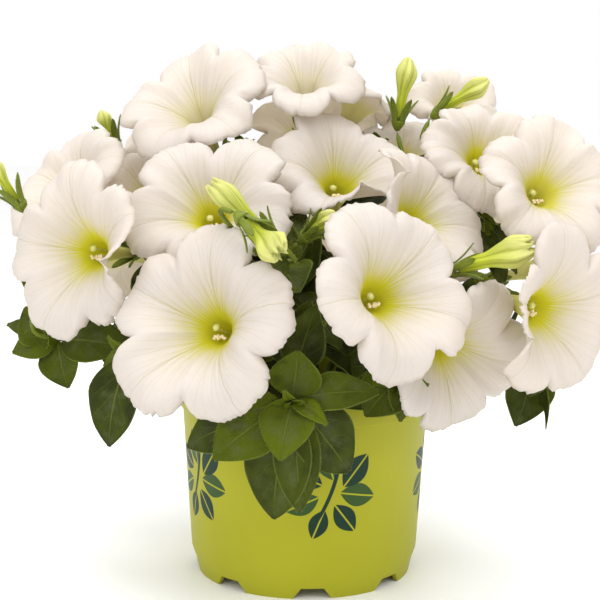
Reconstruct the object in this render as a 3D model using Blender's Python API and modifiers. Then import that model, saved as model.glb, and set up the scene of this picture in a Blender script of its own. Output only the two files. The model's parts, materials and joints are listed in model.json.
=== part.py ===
"""A white garden petunia in a lime plastic pot, in metres, +Z up.

The origin is the centre of the pot's foot, and the front is -Y. The pot, the potting mix,
each leafy shoot, each flower and each furled bud is one solid. Where a shoot, flower stalk
or leaf may grow is worked out by the rules under "growth": each tries its own place first,
and gives way to what already stands there.
"""

import math
import random
from dataclasses import dataclass, field
from functools import lru_cache

import bmesh
import bpy
from mathutils import Matrix, Vector
from mathutils.bvhtree import BVHTree

# Pot
POT_HEIGHT = 0.095
RIM_RADIUS = 0.0618
BAND_Z = 0.0815
WALL_TOP_RADIUS = 0.0600
SHOULDER_Z = 0.0120
SHOULDER_RADIUS = 0.0557
FOOT_TOP_Z = 0.0066
FOOT_TOP_RADIUS = 0.0538
FOOT_RADIUS = 0.0523
POT_WALL = 0.0015
FLOOR_Z = 0.0072
PAD_RADIUS = 0.0100
POT_SIDES = 32
NOTCHES = 8
NOTCH_TURN = math.radians(4.5)
NOTCH_HEIGHT = 0.0052
NOTCH_WIDTH_LOW = 0.021
NOTCH_WIDTH_HIGH = 0.0105
DRAIN_RADIUS = 0.0035
DRAIN_RING = 0.037

# Potting mix
SOIL_TOP = 0.0835
SOIL_CROWN = 0.0030
GAP = 0.0004
HOLE_DEPTH = 0.022

# Flower: the tube below the throat, and the flat limb round it
TUBE_LENGTH = 0.028
TUBE_FOOT_RADIUS = 0.0018
THROAT_RADIUS = 0.0068
LOBES = 5
LOBE_NOTCH = 0.22
PETAL_THICKNESS = 0.0008
COLUMN_RADIUS = 0.0007
ANTHER_RADIUS = 0.0011
CALYX_LENGTH = 0.0060
CALYX_RADIUS = 0.0036
CALYX_MOUTH = 0.0027
SEPAL_LENGTH = 0.012
SEPAL_REACH = 0.0085
PEDICEL_RADIUS = 0.0010

# Shoots and leaves
STEM_RADIUS = 0.0019
STEM_TIP_RADIUS = 0.0010
LEAF_THICKNESS = 0.0007
PETIOLE_WIDTH = 0.0018
CLEARANCE = 0.00125

SEED = 41
EYE = Vector((0.0, -0.6, 0.2))


@dataclass
class Bloom:
    """An open flower: where its throat is, its shape, and which way it faces.

    The way it faces is in degrees round from the front and up. A fold is a direction in the
    flower's own face and how far the limb rolls forward there.
    """

    name: str
    throat: tuple
    faces: tuple
    width: float = 0.078
    roll: float = 0.0
    cup: float = 0.24
    curl: float = 0.10
    folds: list = field(default_factory=list)
    lobes: tuple = ()


@dataclass
class Bud:
    """A furled bud, from its calyx to its tip."""

    name: str
    base: tuple
    tip: tuple
    width: float


@dataclass
class Leaf:
    """A leaf's tip, the way its upper face looks, its width and how far it arches."""

    tip: Vector
    normal: Vector
    width: float
    base: Vector = None
    arch: float = 0.12


@dataclass
class Shoot:
    """A leafy shoot: where its stem leaves the soil, turns outward and ends, its placed leaves, and how many more."""

    name: str
    root: tuple
    turn: tuple
    tip: tuple
    leaves: list = field(default_factory=list)
    more: int = 4


BLOOMS = [
    Bloom(
        "bloom_front_left", (-0.036, -0.095, 0.130), (-27, 18), 0.086, 0.27,
        cup=0.27, lobes=(0.96, 0.98, 1.04, 1.02, 0.94),
    ),
    Bloom("bloom_front_right", (0.028, -0.097, 0.144), (33, 20), 0.080, 0.75, cup=0.28),
    Bloom("bloom_left", (-0.093, -0.055, 0.159), (-27, 4), 0.080, 0.5, folds=[(-10, 0.17)]),
    Bloom("bloom_right", (0.099, -0.068, 0.137), (32, 3), 0.080, 0.3, folds=[(185, 0.20)]),
    Bloom("bloom_low_right", (0.064, -0.062, 0.118), (24, -12), 0.080, 1.1, folds=[(200, 0.18)]),
    Bloom("bloom_upper_right", (0.105, -0.040, 0.186), (20, 26), 0.070, 0.1),
    Bloom("bloom_centre", (0.045, -0.060, 0.173), (38, 35), 0.076, 0.8, folds=[(170, 0.2)]),
    Bloom("bloom_behind_right", (0.083, -0.006, 0.199), (8, 36), 0.066, 0.6),
    Bloom("bloom_middle", (0.014, -0.036, 0.187), (14, 44), 0.080, 0.4, folds=[(-80, 0.2)]),
    Bloom("bloom_mid_left", (-0.042, -0.045, 0.173), (-8, 36), 0.081, 1.0),
    Bloom("bloom_top_right", (0.044, -0.012, 0.204), (-4, 44), 0.054, 0.2),
    Bloom("bloom_top_left", (-0.052, 0.000, 0.220), (-24, 42), 0.076, 0.7),
    Bloom("bloom_top", (-0.001, 0.012, 0.234), (-2, 54), 0.062, 0.9),
    Bloom("bloom_crown", (0.024, 0.034, 0.226), (105, 50), 0.050, 0.3),
    Bloom("bloom_high_right", (0.073, 0.038, 0.225), (16, 40), 0.052, 0.5),
    Bloom("bloom_heart", (-0.013, -0.008, 0.202), (-5, 60), 0.058, 0.1),
    Bloom("bloom_far_left", (-0.112, 0.010, 0.182), (-45, 50), 0.074, 0.5),
    Bloom("bloom_back_left", (-0.092, 0.064, 0.192), (-80, 40), 0.070, 0.8),
    Bloom("bloom_side_left", (-0.075, -0.008, 0.188), (-25, 60), 0.066, 0.2),
    Bloom("bloom_back_a", (-0.102, 0.088, 0.150), (-122, 14), 0.078, 0.3),
    Bloom("bloom_back_b", (-0.040, 0.102, 0.168), (-160, 22), 0.080, 0.7),
    Bloom("bloom_back_c", (0.030, 0.110, 0.148), (172, 10), 0.080, 0.9),
    Bloom("bloom_back_d", (0.085, 0.086, 0.176), (140, 28), 0.078, 0.1),
    Bloom("bloom_back_e", (0.122, 0.034, 0.146), (95, 12), 0.078, 0.6),
    Bloom("bloom_back_f", (0.002, 0.070, 0.208), (178, 46), 0.074, 0.4),
]

BUDS = [
    Bud("bud_upright", (0.045, 0.014, 0.221), (0.049, 0.012, 0.250), 0.0115),
    Bud("bud_high_right", (0.066, 0.016, 0.225), (0.088, 0.012, 0.240), 0.0110),
    Bud("bud_right", (0.064, -0.079, 0.155), (0.094, -0.088, 0.166), 0.0150),
    Bud("bud_long", (-0.014, -0.096, 0.169), (-0.039, -0.099, 0.191), 0.0110),
    Bud("bud_pale", (-0.024, -0.108, 0.172), (-0.010, -0.116, 0.160), 0.0150),
    Bud("bud_small", (0.001, -0.060, 0.168), (0.012, -0.066, 0.178), 0.0090),
    Bud("bud_left_high", (-0.098, 0.030, 0.210), (-0.104, 0.028, 0.224), 0.0080),
    Bud("bud_left_edge", (-0.130, -0.044, 0.181), (-0.142, -0.050, 0.200), 0.0090),
    Bud("bud_back", (0.020, 0.120, 0.195), (0.024, 0.142, 0.212), 0.0120),
    Bud("bud_back_left", (-0.085, 0.108, 0.190), (-0.102, 0.125, 0.202), 0.0110),
]


def leaf_at(tip, faces, width, arch=0.12, near=None):
    """A leaf placed by eye: its tip, the way its upper face looks, and where it leaves its stem if not the nearest."""
    return Leaf(Vector(tip), facing(*faces), width, near and Vector(near), arch)


def facing(azimuth, elevation):
    """The unit vector that looks azimuth degrees round from the front and elevation degrees up."""
    a, e = math.radians(azimuth), math.radians(elevation)
    return Vector((math.sin(a) * math.cos(e), -math.cos(a) * math.cos(e), math.sin(e)))


SHOOTS = [
    Shoot("shoot_front", (-0.004, -0.020), (-0.004, -0.066, 0.122), (-0.005, -0.094, 0.101), [
        leaf_at((-0.038, -0.096, 0.076), (-14, 20), 0.027),
        leaf_at((-0.010, -0.110, 0.079), (-4, 30), 0.023),
        leaf_at((-0.003, -0.102, 0.123), (0, 14), 0.022, -0.05),
        leaf_at((0.031, -0.092, 0.104), (12, 34), 0.017),
        leaf_at((0.019, -0.084, 0.068), (10, 14), 0.027),
        leaf_at((-0.002, -0.090, 0.052), (3, 10), 0.020),
        leaf_at((-0.013, -0.080, 0.046), (-14, 8), 0.029),
        leaf_at((-0.051, -0.074, 0.076), (-22, 14), 0.024),
        leaf_at((0.009, -0.106, 0.093), (8, 36), 0.009),
    ], 1),
    Shoot("shoot_front_left", (-0.014, -0.016), (-0.060, -0.052, 0.122), (-0.077, -0.066, 0.116), [
        leaf_at((-0.087, -0.062, 0.073), (-16, 6), 0.024),
    ], 1),
    Shoot("shoot_left", (-0.020, -0.004), (-0.084, -0.022, 0.130), (-0.114, -0.036, 0.117), [
        leaf_at((-0.108, -0.045, 0.096), (-15, 10), 0.021),
        leaf_at((-0.135, -0.038, 0.111), (-22, 18), 0.015),
        leaf_at((-0.131, -0.030, 0.131), (-25, 32), 0.025),
        leaf_at((-0.076, -0.050, 0.115), (-12, 26), 0.022, near=(-0.106, -0.034, 0.119)),
        leaf_at((-0.141, -0.022, 0.122), (-30, 30), 0.009),
    ], 1),
    Shoot("shoot_back_left", (-0.016, 0.013), (-0.070, 0.056, 0.126), (-0.112, 0.078, 0.110)),
    Shoot("shoot_back", (0.000, 0.020), (-0.004, 0.078, 0.128), (-0.010, 0.122, 0.112)),
    Shoot("shoot_back_right", (0.016, 0.014), (0.066, 0.056, 0.124), (0.096, 0.082, 0.104)),
    Shoot("shoot_right", (0.021, -0.002), (0.082, 0.000, 0.120), (0.110, -0.002, 0.104), [
        leaf_at((0.102, -0.012, 0.073), (20, 10), 0.027),
    ]),
    Shoot("shoot_front_right", (0.013, -0.016), (0.038, -0.050, 0.116), (0.041, -0.070, 0.108), [
        leaf_at((0.026, -0.078, 0.091), (10, 30), 0.023),
        leaf_at((0.035, -0.089, 0.108), (12, 24), 0.015, near=(0.036, -0.060, 0.112)),
        leaf_at((0.050, -0.070, 0.092), (18, 26), 0.018),
        leaf_at((0.041, -0.079, 0.089), (16, 30), 0.013),
    ], 1),
    Shoot("shoot_upper_left", (-0.011, -0.004), (-0.030, -0.006, 0.140), (-0.072, -0.010, 0.176)),
    Shoot("shoot_upper_front", (-0.001, -0.011), (0.000, -0.026, 0.134), (-0.012, -0.056, 0.152), [
        leaf_at((-0.003, -0.086, 0.145), (6, 30), 0.024),
        leaf_at((-0.024, -0.080, 0.148), (-20, 30), 0.020),
    ]),
    Shoot("shoot_upper_right", (0.010, -0.003), (0.030, -0.006, 0.138), (0.078, -0.020, 0.172)),
    Shoot("shoot_crown", (0.004, 0.008), (0.010, 0.014, 0.150), (0.036, 0.020, 0.206), [
        leaf_at((0.030, 0.028, 0.226), (-30, 6), 0.014, 0.0),
        leaf_at((0.056, 0.014, 0.226), (15, 20), 0.008, 0.0),
    ]),
    Shoot("shoot_upper_back", (-0.006, 0.008), (-0.016, 0.026, 0.150), (-0.030, 0.044, 0.204)),
]


# Growth

def flower_frame(bloom):
    """The matrix that puts a flower's own +Z the way it faces, +Y towards the sky, and its throat in place."""
    ahead = facing(*bloom.faces)
    right = Vector((0, 0, 1)).cross(ahead).normalized()
    up = ahead.cross(right)
    return Matrix.Translation(bloom.throat) @ Matrix((right, up, ahead)).transposed().to_4x4()


def petal_waves(bloom):
    """Each flower's own slow waves round the limb, as (waves in a turn, size as a share of the width, phase)."""
    draw = random.Random(bloom.name)
    return [
        (2, draw.uniform(0.02, 0.05), draw.uniform(0, math.tau)),
        (3, draw.uniform(0.01, 0.035), draw.uniform(0, math.tau)),
        (LOBES, -0.022, -LOBES * bloom.roll),
    ]


@lru_cache(maxsize=None)
def chance_lengths(name):
    """How far each lobe of a flower reaches, as a share of its half width."""
    draw = random.Random(f"{name} lobes")
    return [draw.uniform(0.90, 1.03) for _ in range(LOBES)]


def lobe_lengths(bloom):
    """The reach of each lobe: as placed by eye, or by chance."""
    return bloom.lobes or chance_lengths(bloom.name)


def corolla_point(bloom, waves, reach, turn):
    """A point of the corolla in the flower's own frame. Reach is 0 at the tube's foot, 1 at the throat, 2 at the edge."""
    if reach <= 1:
        radius = TUBE_FOOT_RADIUS + (THROAT_RADIUS - TUBE_FOOT_RADIUS) * (0.25 * reach + 0.75 * reach**3)
        height = -TUBE_LENGTH * (1 - reach)
        return Vector((radius * math.cos(turn), radius * math.sin(turn), height))
    out = reach - 1
    lobe = LOBES * (turn - bloom.roll) / math.tau
    side = 2 * abs(lobe - round(lobe))
    tip = lobe_lengths(bloom)[round(lobe) % LOBES]
    edge = bloom.width / 2 * (1 - LOBE_NOTCH + (tip - 1 + LOBE_NOTCH) * (1 - side**3))
    radius = THROAT_RADIUS + (edge - THROAT_RADIUS) * out
    rise = bloom.cup * (1 - (1 - out) ** 2) - bloom.curl * out**3
    rise += out**2 * sum(size * math.cos(count * turn + phase) for count, size, phase in waves)
    for side, amount in bloom.folds:
        share = amount * out**2 * max(0.0, math.cos(turn - math.radians(side))) ** 3
        rise += share
        radius -= 0.6 * bloom.width * share
    return Vector((radius * math.cos(turn), radius * math.sin(turn), rise * bloom.width))


def ring_faces(rows, sides, closed=True):
    """The quads between rows of points, each row a ring, or an open strip if closed is false."""
    span = sides if closed else sides - 1
    return [
        (r * sides + s, r * sides + (s + 1) % sides, (r + 1) * sides + (s + 1) % sides, (r + 1) * sides + s)
        for r in range(rows - 1)
        for s in range(span)
    ]


LOBE_PLACES = (0.5, 0.76, 1.24)
COROLLA_ROWS = ((0.0, 1), (0.55, 1), (1.0, 3), (1.5, 3), (2.0, 3))


def corolla_sheet(bloom):
    """The corolla's middle surface in place, as points and triangles.

    Each row is a reach and its points a lobe: the tube has five sides and a closed foot, and the
    limb has three points a lobe, one of them in the notch.
    """
    frame, waves = flower_frame(bloom), petal_waves(bloom)
    points, faces, starts = [], [], []
    for reach, each in COROLLA_ROWS:
        starts.append(len(points))
        for s in range(LOBES * each):
            lobe = s + 1.0 if each == 1 else s // each + LOBE_PLACES[s % each]
            points.append(frame @ corolla_point(bloom, waves, reach, bloom.roll + math.tau * lobe / LOBES))
    for row in range(len(COROLLA_ROWS) - 1):
        low, high = starts[row], starts[row + 1]
        few, many = LOBES * COROLLA_ROWS[row][1], LOBES * COROLLA_ROWS[row + 1][1]
        each = many // few
        for s in range(few):
            fan = [high + (s * each + i) % many for i in range(each + 1)]
            faces += [(low + s, a, b) for b, a in zip(fan, fan[1:])]
            faces.append((low + s, low + (s + 1) % few, fan[-1]))
    faces.append(tuple(range(LOBES)))
    return points, faces


def bezier(p0, p1, p2, p3, count):
    """Points along a cubic curve."""
    steps = [i / (count - 1) for i in range(count)]
    return [(1 - t) ** 3 * p0 + 3 * t * (1 - t) ** 2 * p1 + 3 * t**2 * (1 - t) * p2 + t**3 * p3 for t in steps]


def tube_rings(points, radius, sides=5):
    """A plain tube round a line of points, for the clearance tests."""
    rings, side = [], Vector((0.3, 0.8, 0.5))
    for i, point in enumerate(points):
        along = (points[min(i + 1, len(points) - 1)] - points[max(i - 1, 0)]).normalized()
        side = (side - along * side.dot(along)).normalized()
        other = along.cross(side)
        for s in range(sides):
            a = math.tau * s / sides
            rings.append(point + radius * (math.cos(a) * side + math.sin(a) * other))
    return rings, ring_faces(len(points), sides)


LEAF_ROWS = (0.34, 0.70)
BRACT_ROWS = (0.5,)


def leaf_width(share):
    """A petunia leaf's width along its length, as a share of its greatest: a short stalk and an egg-shaped blade."""
    blade = max(0.0, (share - 0.10) / 0.90)
    return math.sin(math.pi * min(1.0, blade**0.80)) ** 0.72 if 0 < blade < 1 else 0.0


def leaf_point(leaf, share, column):
    """A point of a leaf's middle surface: it arches along its length and folds a little at the midrib."""
    along = leaf.tip - leaf.base
    length = along.length
    along.normalize()
    normal = (leaf.normal - along * leaf.normal.dot(along)).normalized()
    across = along.cross(normal)
    spine = leaf.base + along * length * share + normal * leaf.arch * length * 4 * share * (1 - share)
    half = max(PETIOLE_WIDTH / 2, leaf.width / 2 * leaf_width(share))
    return spine + across * half * column + normal * 0.16 * half * abs(column)


def leaf_sheet(leaf, rows=LEAF_ROWS):
    """A leaf's middle surface as a few triangles: one point at each end, and three across each row between."""
    points = [leaf_point(leaf, 0, 0)]
    for share in rows:
        points += [leaf_point(leaf, share, column) for column in (-1, 0, 1)]
    points.append(leaf_point(leaf, 1, 0))
    faces = [(0, 2, 1), (0, 3, 2)]
    for row in range(len(rows) - 1):
        a = 1 + 3 * row
        faces += [(a, a + 1, a + 4), (a, a + 4, a + 3), (a + 1, a + 2, a + 4), (a + 2, a + 5, a + 4)]
    a = len(points) - 4
    faces += [(a, a + 1, a + 3), (a + 1, a + 2, a + 3)]
    return points, faces


def padded(points, faces, pad):
    """A sheet moved out by pad on both sides, and once more a little larger, as one tree for the clearance tests."""
    mesh = bpy.data.meshes.new("test")
    mesh.from_pydata(points, [], faces)
    normals = [v.normal.copy() for v in mesh.vertices]
    bpy.data.meshes.remove(mesh)
    middle = sum(points, Vector()) / len(points)
    layers = [[p + n * pad for p, n in zip(points, normals)], [p - n * pad for p, n in zip(points, normals)]]
    layers.append([p + (p - middle).normalized() * pad for p in points])
    count = len(points)
    shifted = [tuple(i + layer * count for i in face) for layer in range(3) for face in faces]
    return BVHTree.FromPolygons([p for layer in layers for p in layer], shifted)


class Standing:
    """What already stands, each with the shoot or flower that owns it, so that nothing grows through it."""

    def __init__(self):
        self.things = []

    def add(self, owner, points, faces):
        """Remembers a surface."""
        self.things.append((owner, BVHTree.FromPolygons(points, faces)))

    def crossings(self, tree, owners=()):
        """How many faces of the tree cross what others own."""
        return sum(len(tree.overlap(other)) for owner, other in self.things if owner not in owners)

    def first_clear(self, candidates, tree_of, owners=()):
        """The first candidate that crosses nothing, or else the one that crosses least, and how much it crosses."""
        best, least = None, None
        for candidate in candidates:
            found = self.crossings(tree_of(candidate), owners)
            if least is None or found < least:
                best, least = candidate, found
            if found == 0:
                break
        return best, least


def calyx_tube(foot, ahead, spare=0.0):
    """A plain tube round a calyx and its sepals, for the clearance tests."""
    line = [foot - ahead * (CALYX_LENGTH + 0.003), foot - ahead * CALYX_LENGTH * 0.5, foot + ahead * SEPAL_LENGTH]
    points, faces = [], []
    for (near, far), radius in zip(zip(line, line[1:]), (CALYX_RADIUS, SEPAL_REACH * 0.8)):
        ring, quads = tube_rings([near, far], radius + spare, 6)
        faces += [tuple(i + len(points) for i in quad) for quad in quads]
        points += ring
    return points, faces


def foot_of(bloom):
    """Where a flower's calyx ends and its tube begins."""
    return Vector(bloom.throat) - facing(*bloom.faces) * (TUBE_LENGTH + GAP + PETAL_THICKNESS / 2)


def moved_bloom(bloom, step, sight, turn, lift):
    """The flower slid along its own axis and along the line of sight from the front, and turned a little."""
    ahead = facing(*bloom.faces)
    away = (Vector(bloom.throat) - EYE).normalized()
    values = dict(bloom.__dict__)
    values["throat"] = tuple(Vector(bloom.throat) - ahead * step + away * sight)
    values["faces"] = (bloom.faces[0] + turn, bloom.faces[1] + lift)
    return Bloom(**values)


def settle_blooms(standing):
    """Each flower keeps its own place, or gives way by the smallest move that clears what already stands."""
    moves = []
    for step in range(-6, 9):
        for sight in range(-6, 9):
            for turn, lift in ((0, 0), (10, 0), (-10, 0), (0, 10), (0, -10)):
                back = abs(step) * (1.0 if step >= 0 else 1.6)
                cost = back + abs(sight) * (0.5 if sight >= 0 else 0.9) + 0.12 * (abs(turn) + abs(lift))
                moves.append((cost, 0.003 * step, 0.003 * sight, turn, lift))
    moves.sort()
    settled = []
    for bloom in BLOOMS:
        best, least = None, None
        for cost, *move in moves:
            trial = moved_bloom(bloom, *move)
            left = standing.crossings(padded(*corolla_sheet(trial), CLEARANCE))
            if left == 0:
                left = standing.crossings(
                    BVHTree.FromPolygons(*calyx_tube(foot_of(trial), facing(*trial.faces), CLEARANCE))
                )
            if least is None or left < least:
                best, least = trial, left
            if left == 0:
                break
        standing.add(best.name, *corolla_sheet(best))
        standing.add(best.name, *calyx_tube(foot_of(best), facing(*best.faces)))
        settled.append(best)
    return settled


def settle_buds(standing):
    """Each bud keeps its own place, or moves aside by a few millimetres."""
    settled = []
    for bud in BUDS:
        draw = random.Random(bud.name)
        shifts = [Vector((0, 0, 0))]
        shifts += [Vector([draw.uniform(-1, 1) * 0.0006 * i for _ in range(3)]) for i in range(1, 60)]

        def moved(shift, bud=bud):
            return Bud(bud.name, tuple(Vector(bud.base) + shift), tuple(Vector(bud.tip) + shift), bud.width)

        def tree_of(shift):
            trial = moved(shift)
            ahead = (Vector(trial.tip) - Vector(trial.base)).normalized()
            ring, quads = tube_rings([Vector(trial.base), Vector(trial.tip)], trial.width / 2 + CLEARANCE, 8)
            cup, sides = calyx_tube(Vector(trial.base), ahead, CLEARANCE)
            quads = list(quads) + [tuple(i + len(ring) for i in side) for side in sides]
            return BVHTree.FromPolygons(ring + cup, quads)

        shift, _ = standing.first_clear(shifts, tree_of)
        chosen = moved(shift)
        standing.add(bud.name, *bud_sheet(chosen))
        ahead = (Vector(chosen.tip) - Vector(chosen.base)).normalized()
        standing.add(bud.name, *calyx_tube(Vector(chosen.base), ahead))
        settled.append(chosen)
    return settled


BUD_SIDES = 10
BUD_ROWS = ((0.0, 0.34), (0.36, 0.46), (0.76, 1.0), (1.0, 0.34))


def bud_sheet(bud, sides=BUD_SIDES, rows=BUD_ROWS):
    """A furled bud's surface: a slender tube that swells near the tip, with five twisted pleats."""
    base, tip = Vector(bud.base), Vector(bud.tip)
    along = tip - base
    length = along.length
    along.normalize()
    right = along.cross(Vector((0.2, 0.3, 1.0))).normalized()
    up = along.cross(right)
    points = []
    for share, swell in rows:
        for s in range(sides):
            turn = math.tau * s / sides + 1.1 * share
            pleat = 1 - 0.16 * swell * (s % 2)
            radius = bud.width / 2 * swell * pleat
            points.append(base + along * length * share + radius * (math.cos(turn) * right + math.sin(turn) * up))
    faces = [tuple(reversed(f)) for f in ring_faces(len(rows), sides)]
    faces += [tuple(range(sides)), tuple(reversed(range((len(rows) - 1) * sides, len(rows) * sides)))]
    return points, faces


@dataclass
class Grown:
    """A shoot as it grew: its stem, its flower stalks with the way each calyx faces, and its leaves."""

    shoot: Shoot
    stem: list
    stalks: list = field(default_factory=list)
    leaves: list = field(default_factory=list)


def stem_path(shoot, bend=Vector((0, 0, 0)), count=7):
    """The stem's line, from the bottom of its hole in the soil."""
    root = Vector((shoot.root[0], shoot.root[1], SOIL_TOP - HOLE_DEPTH + GAP))
    collar = Vector((root.x, root.y, SOIL_TOP + SOIL_CROWN + 0.002))
    turn, tip = Vector(shoot.turn) + bend, Vector(shoot.tip) + bend * 0.6
    rise = collar + Vector((0, 0, 0.35 * (turn.z - collar.z)))
    return [root] + bezier(collar, rise, turn, tip, count - 1)


def grow_stems(standing):
    """Each stem keeps to its own line, or bends aside by a few millimetres where a flower is in the way."""
    grown = []
    for shoot in SHOOTS:
        draw = random.Random(shoot.name)
        bends = [Vector((0, 0, 0))]
        bends += [
            Vector([draw.uniform(-1, 1) * (0.004 + 0.0004 * i) for _ in range(3)]) for i in range(50)
        ]
        chosen, _ = standing.first_clear(
            bends,
            lambda bend: BVHTree.FromPolygons(*tube_rings(stem_path(shoot, bend), STEM_RADIUS + CLEARANCE)),
            (shoot.name, "soil"),
        )
        path = stem_path(shoot, chosen)
        standing.add(shoot.name, *tube_rings(path, STEM_RADIUS))
        grown.append(Grown(shoot, path))
    return grown


def stalk_routes(grown, end, ahead):
    """Ways for a flower stalk from a stem to a calyx, the shortest first."""
    draw = random.Random(grown.shoot.name)
    routes = []
    for start in range(3, len(grown.stem)):
        leave = grown.stem[start]
        gap = (end - leave).length
        if gap < 0.010:
            continue
        along = (grown.stem[start] - grown.stem[start - 1]).normalized()
        for ease in (0.45, 0.3, 0.6):
            for lift in (0.0, 0.25, -0.25):
                first = leave + (along + Vector((0, 0, lift))) * gap * ease
                last = end - ahead * gap * ease
                routes.append((gap, bezier(leave, first, last, end, 5)))
                for detour in range(1, 5):
                    swing = Vector([draw.uniform(-1, 1) * 0.006 * detour for _ in range(3)])
                    cost = gap + 0.008 * detour
                    routes.append((cost, bezier(leave, first + swing, last + swing * 0.6, end, 5)))
    return [route for _, route in sorted(routes, key=lambda r: r[0])]


def grow_stalk(grown, standing, name, foot, ahead):
    """A flower stalk from the nearest shoot that has a clear way to the calyx."""
    end = foot - ahead * CALYX_LENGTH
    near = sorted(grown, key=lambda g: min((p - end).length for p in g.stem[3:]))
    best = None
    for parent in near:
        owners = (parent.shoot.name, name)
        route, left = standing.first_clear(
            stalk_routes(parent, end, ahead),
            lambda r: BVHTree.FromPolygons(*tube_rings(r, PEDICEL_RADIUS + CLEARANCE)),
            owners,
        )
        if best is None or left < best[0]:
            best = (left, parent, route)
        if left == 0:
            break
    _, parent, route = best
    standing.add(parent.shoot.name, *tube_rings(route, PEDICEL_RADIUS))
    parent.stalks.append((route, foot, ahead))


def try_leaf(grown, standing, options):
    """Adds the first leaf of the options that grows clear of the rest, if there is one."""
    leaf, left = standing.first_clear(
        options, lambda l: padded(*leaf_sheet(l), CLEARANCE), (grown.shoot.name,)
    )
    if left == 0:
        standing.add(grown.shoot.name, *leaf_sheet(leaf))
        grown.leaves.append(leaf)
    return left == 0


def placed_leaf_options(grown, leaf):
    """A leaf placed by eye, joined to the nearest point of its stem, and the same leaf nudged a little."""
    draw = random.Random(f"{grown.shoot.name}{leaf.width}{leaf.tip.x}")
    above = grown.stem[3:]
    near = leaf.base or leaf.tip
    base = min(above, key=lambda p: (p - near).length)
    options = []
    for i in range(40):
        shift = Vector([draw.uniform(-1, 1) * 0.0005 * i for _ in range(3)])
        options.append(Leaf(leaf.tip + shift, leaf.normal, leaf.width, base, leaf.arch))
    return options


def grown_leaf_options(grown, share, number, draw):
    """Leaves that one joint of the stem may carry: turned round the stem, shorter or flatter where there's no room."""
    position = share * (len(grown.stem) - 4) + 3
    low = min(int(position), len(grown.stem) - 2)
    base = grown.stem[low].lerp(grown.stem[low + 1], position - low)
    along = (grown.stem[low + 1] - grown.stem[low]).normalized()
    side = along.cross(Vector((0.4, 0.2, 1.0))).normalized()
    other = along.cross(side)
    length = 0.050 - 0.020 * share + draw.uniform(-0.005, 0.005)
    options = []
    for shrink in (1.0, 0.8, 0.62):
        for twist in range(9):
            turn = number * math.radians(137.5) + twist * math.radians(40)
            for spread in (62, 85, 40):
                lean = math.radians(spread)
                away = math.cos(turn) * side + math.sin(turn) * other
                ahead = math.cos(lean) * along + math.sin(lean) * away
                normal = (math.sin(lean) * along - math.cos(lean) * away) + Vector((0, 0, 0.4))
                reach = length * shrink
                tip = base + ahead * reach - Vector((0, 0, 0.15 * reach))
                options.append(Leaf(tip, normal, reach * 0.52, base, 0.10))
    return options


LEAVES_A_SHOOT = 4
MOST_LEAVES = 8
BRACT_LENGTH = 0.022


def bract_options(route, draw):
    """The small leaf that stands where a flower stalk has run a third of its way."""
    base = route[2]
    along = (route[3] - route[1]).normalized()
    side = along.cross(Vector((0.1, 0.7, 0.4))).normalized()
    other = along.cross(side)
    start = draw.uniform(0, math.tau)
    options = []
    for twist in range(8):
        turn = start + twist * math.tau / 8
        away = math.cos(turn) * side + math.sin(turn) * other
        tip = base + (along * 0.7 + away).normalized() * BRACT_LENGTH
        options.append(Leaf(tip, along - away, BRACT_LENGTH * 0.42, base, 0.08))
    return options


def grow():
    """The whole plant: the flowers and buds in place, and the shoots as they grew round them."""
    standing = Standing()
    rim = [Vector((0, 0, z)) for z in (0.0, 0.03, 0.06, POT_HEIGHT)]
    standing.add("pot", *tube_rings(rim, RIM_RADIUS + GAP, 24))
    standing.add("pot", *tube_rings([Vector((0, 0, z)) for z in (SOIL_TOP, POT_HEIGHT)], RIM_RADIUS - 0.004, 24))
    crown = SOIL_TOP + SOIL_CROWN
    disc, _ = tube_rings([Vector((0, 0, crown)), Vector((0, 0, crown + 0.0001))], 0.055, 24)
    standing.add("soil", disc, [tuple(range(24))])
    buds = settle_buds(standing)
    blooms = settle_blooms(standing)
    grown = grow_stems(standing)
    for bloom in blooms:
        grow_stalk(grown, standing, bloom.name, foot_of(bloom), facing(*bloom.faces))
    for bud in buds:
        ahead = (Vector(bud.tip) - Vector(bud.base)).normalized()
        grow_stalk(grown, standing, bud.name, Vector(bud.base) - ahead * GAP, ahead)
    for shoot in grown:
        for leaf in shoot.shoot.leaves:
            try_leaf(shoot, standing, placed_leaf_options(shoot, leaf))
    draw = random.Random(SEED)
    for number in range(LEAVES_A_SHOOT):
        for shoot in grown:
            share = (number + 0.6) / LEAVES_A_SHOOT
            if number < shoot.shoot.more and len(shoot.leaves) < MOST_LEAVES:
                try_leaf(shoot, standing, grown_leaf_options(shoot, share, number, draw))
    for shoot in grown:
        for route, _, _ in shoot.stalks[::3]:
            try_leaf(shoot, standing, bract_options(route, draw))
    return blooms, buds, grown


# Making the objects

def material(name, colour, roughness):
    """A plain plastic-like or plant-like material."""
    made = bpy.data.materials.new(name)
    made.use_nodes = True
    shader = made.node_tree.nodes["Principled BSDF"]
    shader.inputs["Base Color"].default_value = (*colour, 1.0)
    shader.inputs["Roughness"].default_value = roughness
    shader.inputs["Metallic"].default_value = 0.0
    made.diffuse_color = (*colour, 1.0)
    return made


def mesh_object(name, points, faces, collection):
    """An object from points and faces, with its faces turned outward."""
    mesh = bpy.data.meshes.new(name)
    mesh.from_pydata([tuple(p) for p in points], [], faces)
    shape = bmesh.new()
    shape.from_mesh(mesh)
    bmesh.ops.recalc_face_normals(shape, faces=shape.faces)
    shape.to_mesh(mesh)
    shape.free()
    made = bpy.data.objects.new(name, mesh)
    collection.objects.link(made)
    return made


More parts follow.
